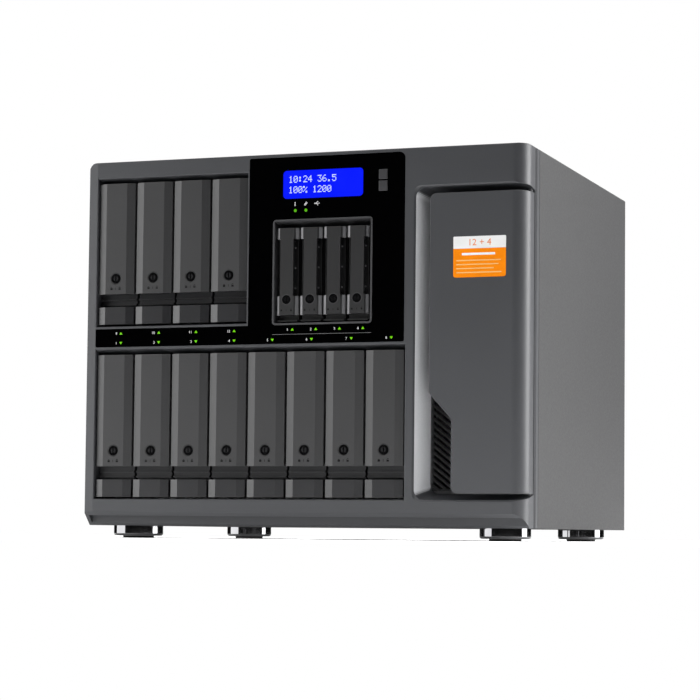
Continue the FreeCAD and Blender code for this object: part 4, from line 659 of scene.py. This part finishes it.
M["label"] = sticker()
M["label_orange"] = ink("label_orange", lin(224, 116, 0))
M["label_pale"] = ink("label_pale", lin(234, 184, 110))
M["label_white"] = ink("label_white", lin(232, 232, 233))
bm = bmesh.new()
slab(bm, round_rect(LBL[0] + 0.12, LBL[1] + 0.12, LBL[2] - 0.12, LBL[3] - 0.12, (1.9, 1.9, 0.7, 0.7)), FRONT + 0.06, FRONT + 0.21)
finish_piece("door_label", bm, M["label"], "door")
bm = bmesh.new()
digits("12 + 4", 147.1, 226.1, 5.2, FRONT + 0.03, FRONT + 0.07, bm, "CENTER")
finish_piece("label_figures", bm, M["label_orange"], "door")
bm = bmesh.new()
for x0, x1, z0, z1 in ((133.0, 159.5, 218.6, 220.4),):
    slab(bm, round_rect(x0, z0, x1, z1, (0.4,) * 4, 3), FRONT + 0.03, FRONT + 0.07)
finish_piece("label_bar", bm, M["label_white"], "door")
bm = bmesh.new()
for z, x1 in ((214.6, 164.0), (211.5, 162.3), (208.4, 158.6), (205.3, 164.6)):
    slab(bm, round_rect(128.6, z - 0.42, x1, z + 0.42, (0.3,) * 4, 3), FRONT + 0.03, FRONT + 0.07)
finish_piece("label_rules", bm, M["label_pale"], "door")

# Power symbol on the button behind the door.
pb_lo, pb_hi = box("power_button")
pcx, pcz = (pb_lo.x + pb_hi.x) / 2, (pb_lo.z + pb_hi.z) / 2
bm = bmesh.new()
band(bm, pcx, pcz, 2.5, 3.2, 120, 420, pb_lo.y + 0.33, pb_lo.y + 0.45, 36)
slab(bm, [(pcx - 0.35, pcz + 0.6), (pcx + 0.35, pcz + 0.6), (pcx + 0.35, pcz + 3.6), (pcx - 0.35, pcz + 3.6)], pb_lo.y + 0.33, pb_lo.y + 0.45)
finish_piece("power_symbol", bm, M["ink_white"], "power_button")

# Figures over the four rear ports.
rear_lo, rear_hi = box("rear_panel")
bm = bmesh.new()
for k, x in enumerate((107, 127, 147, 167)):
    digits("%d" % (4 - k), x, ctrl_hi.z + 3.6, 2.6, rear_hi.y - 0.02, rear_hi.y + 0.04, bm, "CENTER", back=True)
finish_piece("port_numbers", bm, M["ink_white"], "shelf")

# ------------------------------------------------------------------ camera

PX, PY = 400.0, 400.0
YAW, PITCH, ROLL = 0.33168, 0.058529, 0.008936
F = 2286.03
POS = Vector((656.703, -1823.008, 5.0)) * MM
fwd = Vector((-math.sin(YAW), math.cos(YAW), 0))
right = Vector((math.cos(YAW), math.sin(YAW), 0))
upv = Vector((0, 0, 1))
f2 = fwd * math.cos(PITCH) + upv * math.sin(PITCH)
u2 = upv * math.cos(PITCH) - fwd * math.sin(PITCH)
r3 = right * math.cos(ROLL) + u2 * math.sin(ROLL)
u3 = u2 * math.cos(ROLL) - right * math.sin(ROLL)
cam_data = bpy.data.cameras.new("camera")
cam = bpy.data.objects.new("camera", cam_data)
scene.collection.objects.link(cam)
cam_data.sensor_width = 36.0
cam_data.lens = F / 700.0 * 36.0
cam_data.shift_x = (350.0 - PX) / 700.0
cam_data.shift_y = (PY - 350.0) / 700.0
cam_data.clip_start = 0.01
cam_data.clip_end = 60.0
cam.matrix_world = Matrix(((r3.x, u3.x, -f2.x, POS.x), (r3.y, u3.y, -f2.y, POS.y), (r3.z, u3.z, -f2.z, POS.z), (0, 0, 0, 1)))
scene.camera = cam

# ------------------------------------------------------------------ stage and light

bm = bmesh.new()
bmesh.ops.create_grid(bm, x_segments=1, y_segments=1, size=0.7)
me = bpy.data.meshes.new("floor")
bm.to_mesh(me)
bm.free()
fm = Nodes("floor_pale")
fn = fm.noise(3.0, 3.0, 0.5)
fm.shader(Base_Color=fm.mix(fm.remap(fn, 0.3, 0.7, 0, 1), lin(240, 240, 240), lin(245, 245, 245)), Roughness=fm.remap(fn, 0.3, 0.7, 0.55, 0.65))
fx, fy, _ = fm.xyz()
# Painted contact shadow: the floor's glow is dimmed under and close to the object, and it rises to full strength away
# from it.
out_x = fm.math("MULTIPLY", fm.math("MAXIMUM", fm.math("SUBTRACT", fm.math("ABSOLUTE", fx), 0.185), 0.0), 0.3)
out_y = fm.math("MULTIPLY", fm.math("MAXIMUM", fm.math("SUBTRACT", fm.math("ABSOLUTE", fy), 0.160), 0.0), 8.0)
painted_shadow_reach = fm.math("SQRT", fm.math("ADD", fm.math("MULTIPLY", out_x, out_x), fm.math("MULTIPLY", out_y, out_y)))
fm.shader(Emission_Color=(1, 1, 1, 1), Emission_Strength=fm.remap(painted_shadow_reach, 0.0, 0.14, 0.22, 0.88, "SMOOTHSTEP"))
me.materials.append(fm.mat)
floor = bpy.data.objects.new("floor", me)
scene.collection.objects.link(floor)


def area(name, azimuth, elevation, dist, size_x, size_y, power, aim=(0, 0, 0.15)):
    """A softbox round the object. Azimuth 0 is in front, 90 on the right."""
    a, e = math.radians(azimuth), math.radians(elevation)
    back = Vector((math.sin(a) * math.cos(e), -math.cos(a) * math.cos(e), math.sin(e)))
    li = bpy.data.lights.new(name, "AREA")
    li.shape = "RECTANGLE"
    li.size, li.size_y = size_x, size_y
    li.energy = power
    o = bpy.data.objects.new(name, li)
    o.location = Vector(aim) + back * dist
    o.rotation_mode = "QUATERNION"
    o.rotation_quaternion = (-back).to_track_quat("-Z", "Y")
    scene.collection.objects.link(o)
    return o


area("key_left", -68, 13, 1.7, 1.7, 1.35, 34)
area("side_right", 108, 22, 1.6, 0.95, 1.9, 62)
area("front_top", 30, 54, 1.9, 1.3, 0.9, 11.5)
sun = bpy.data.lights.new("overhead", "SUN")
sun.energy = 1.0
sun.angle = math.radians(35)
so = bpy.data.objects.new("overhead", sun)
so.location = (0, 0, 3)
scene.collection.objects.link(so)

world = bpy.data.worlds.new("studio")
scene.world = world
world.use_nodes = True
wt = world.node_tree
wt.nodes.clear()
wo = wt.nodes.new("ShaderNodeOutputWorld")
bg_dim = wt.nodes.new("ShaderNodeBackground")
bg_dim.inputs["Color"].default_value = (1, 1, 1, 1)
bg_dim.inputs["Strength"].default_value = 0.02
bg_seen = wt.nodes.new("ShaderNodeBackground")
bg_seen.inputs["Color"].default_value = (1, 1, 1, 1)
bg_seen.inputs["Strength"].default_value = 1.0
lp = wt.nodes.new("ShaderNodeLightPath")
mx = wt.nodes.new("ShaderNodeMixShader")
wt.links.new(lp.outputs["Is Camera Ray"], mx.inputs[0])
wt.links.new(bg_dim.outputs[0], mx.inputs[1])
wt.links.new(bg_seen.outputs[0], mx.inputs[2])
wt.links.new(mx.outputs[0], wo.inputs["Surface"])
scene.view_settings.view_transform = "Standard"
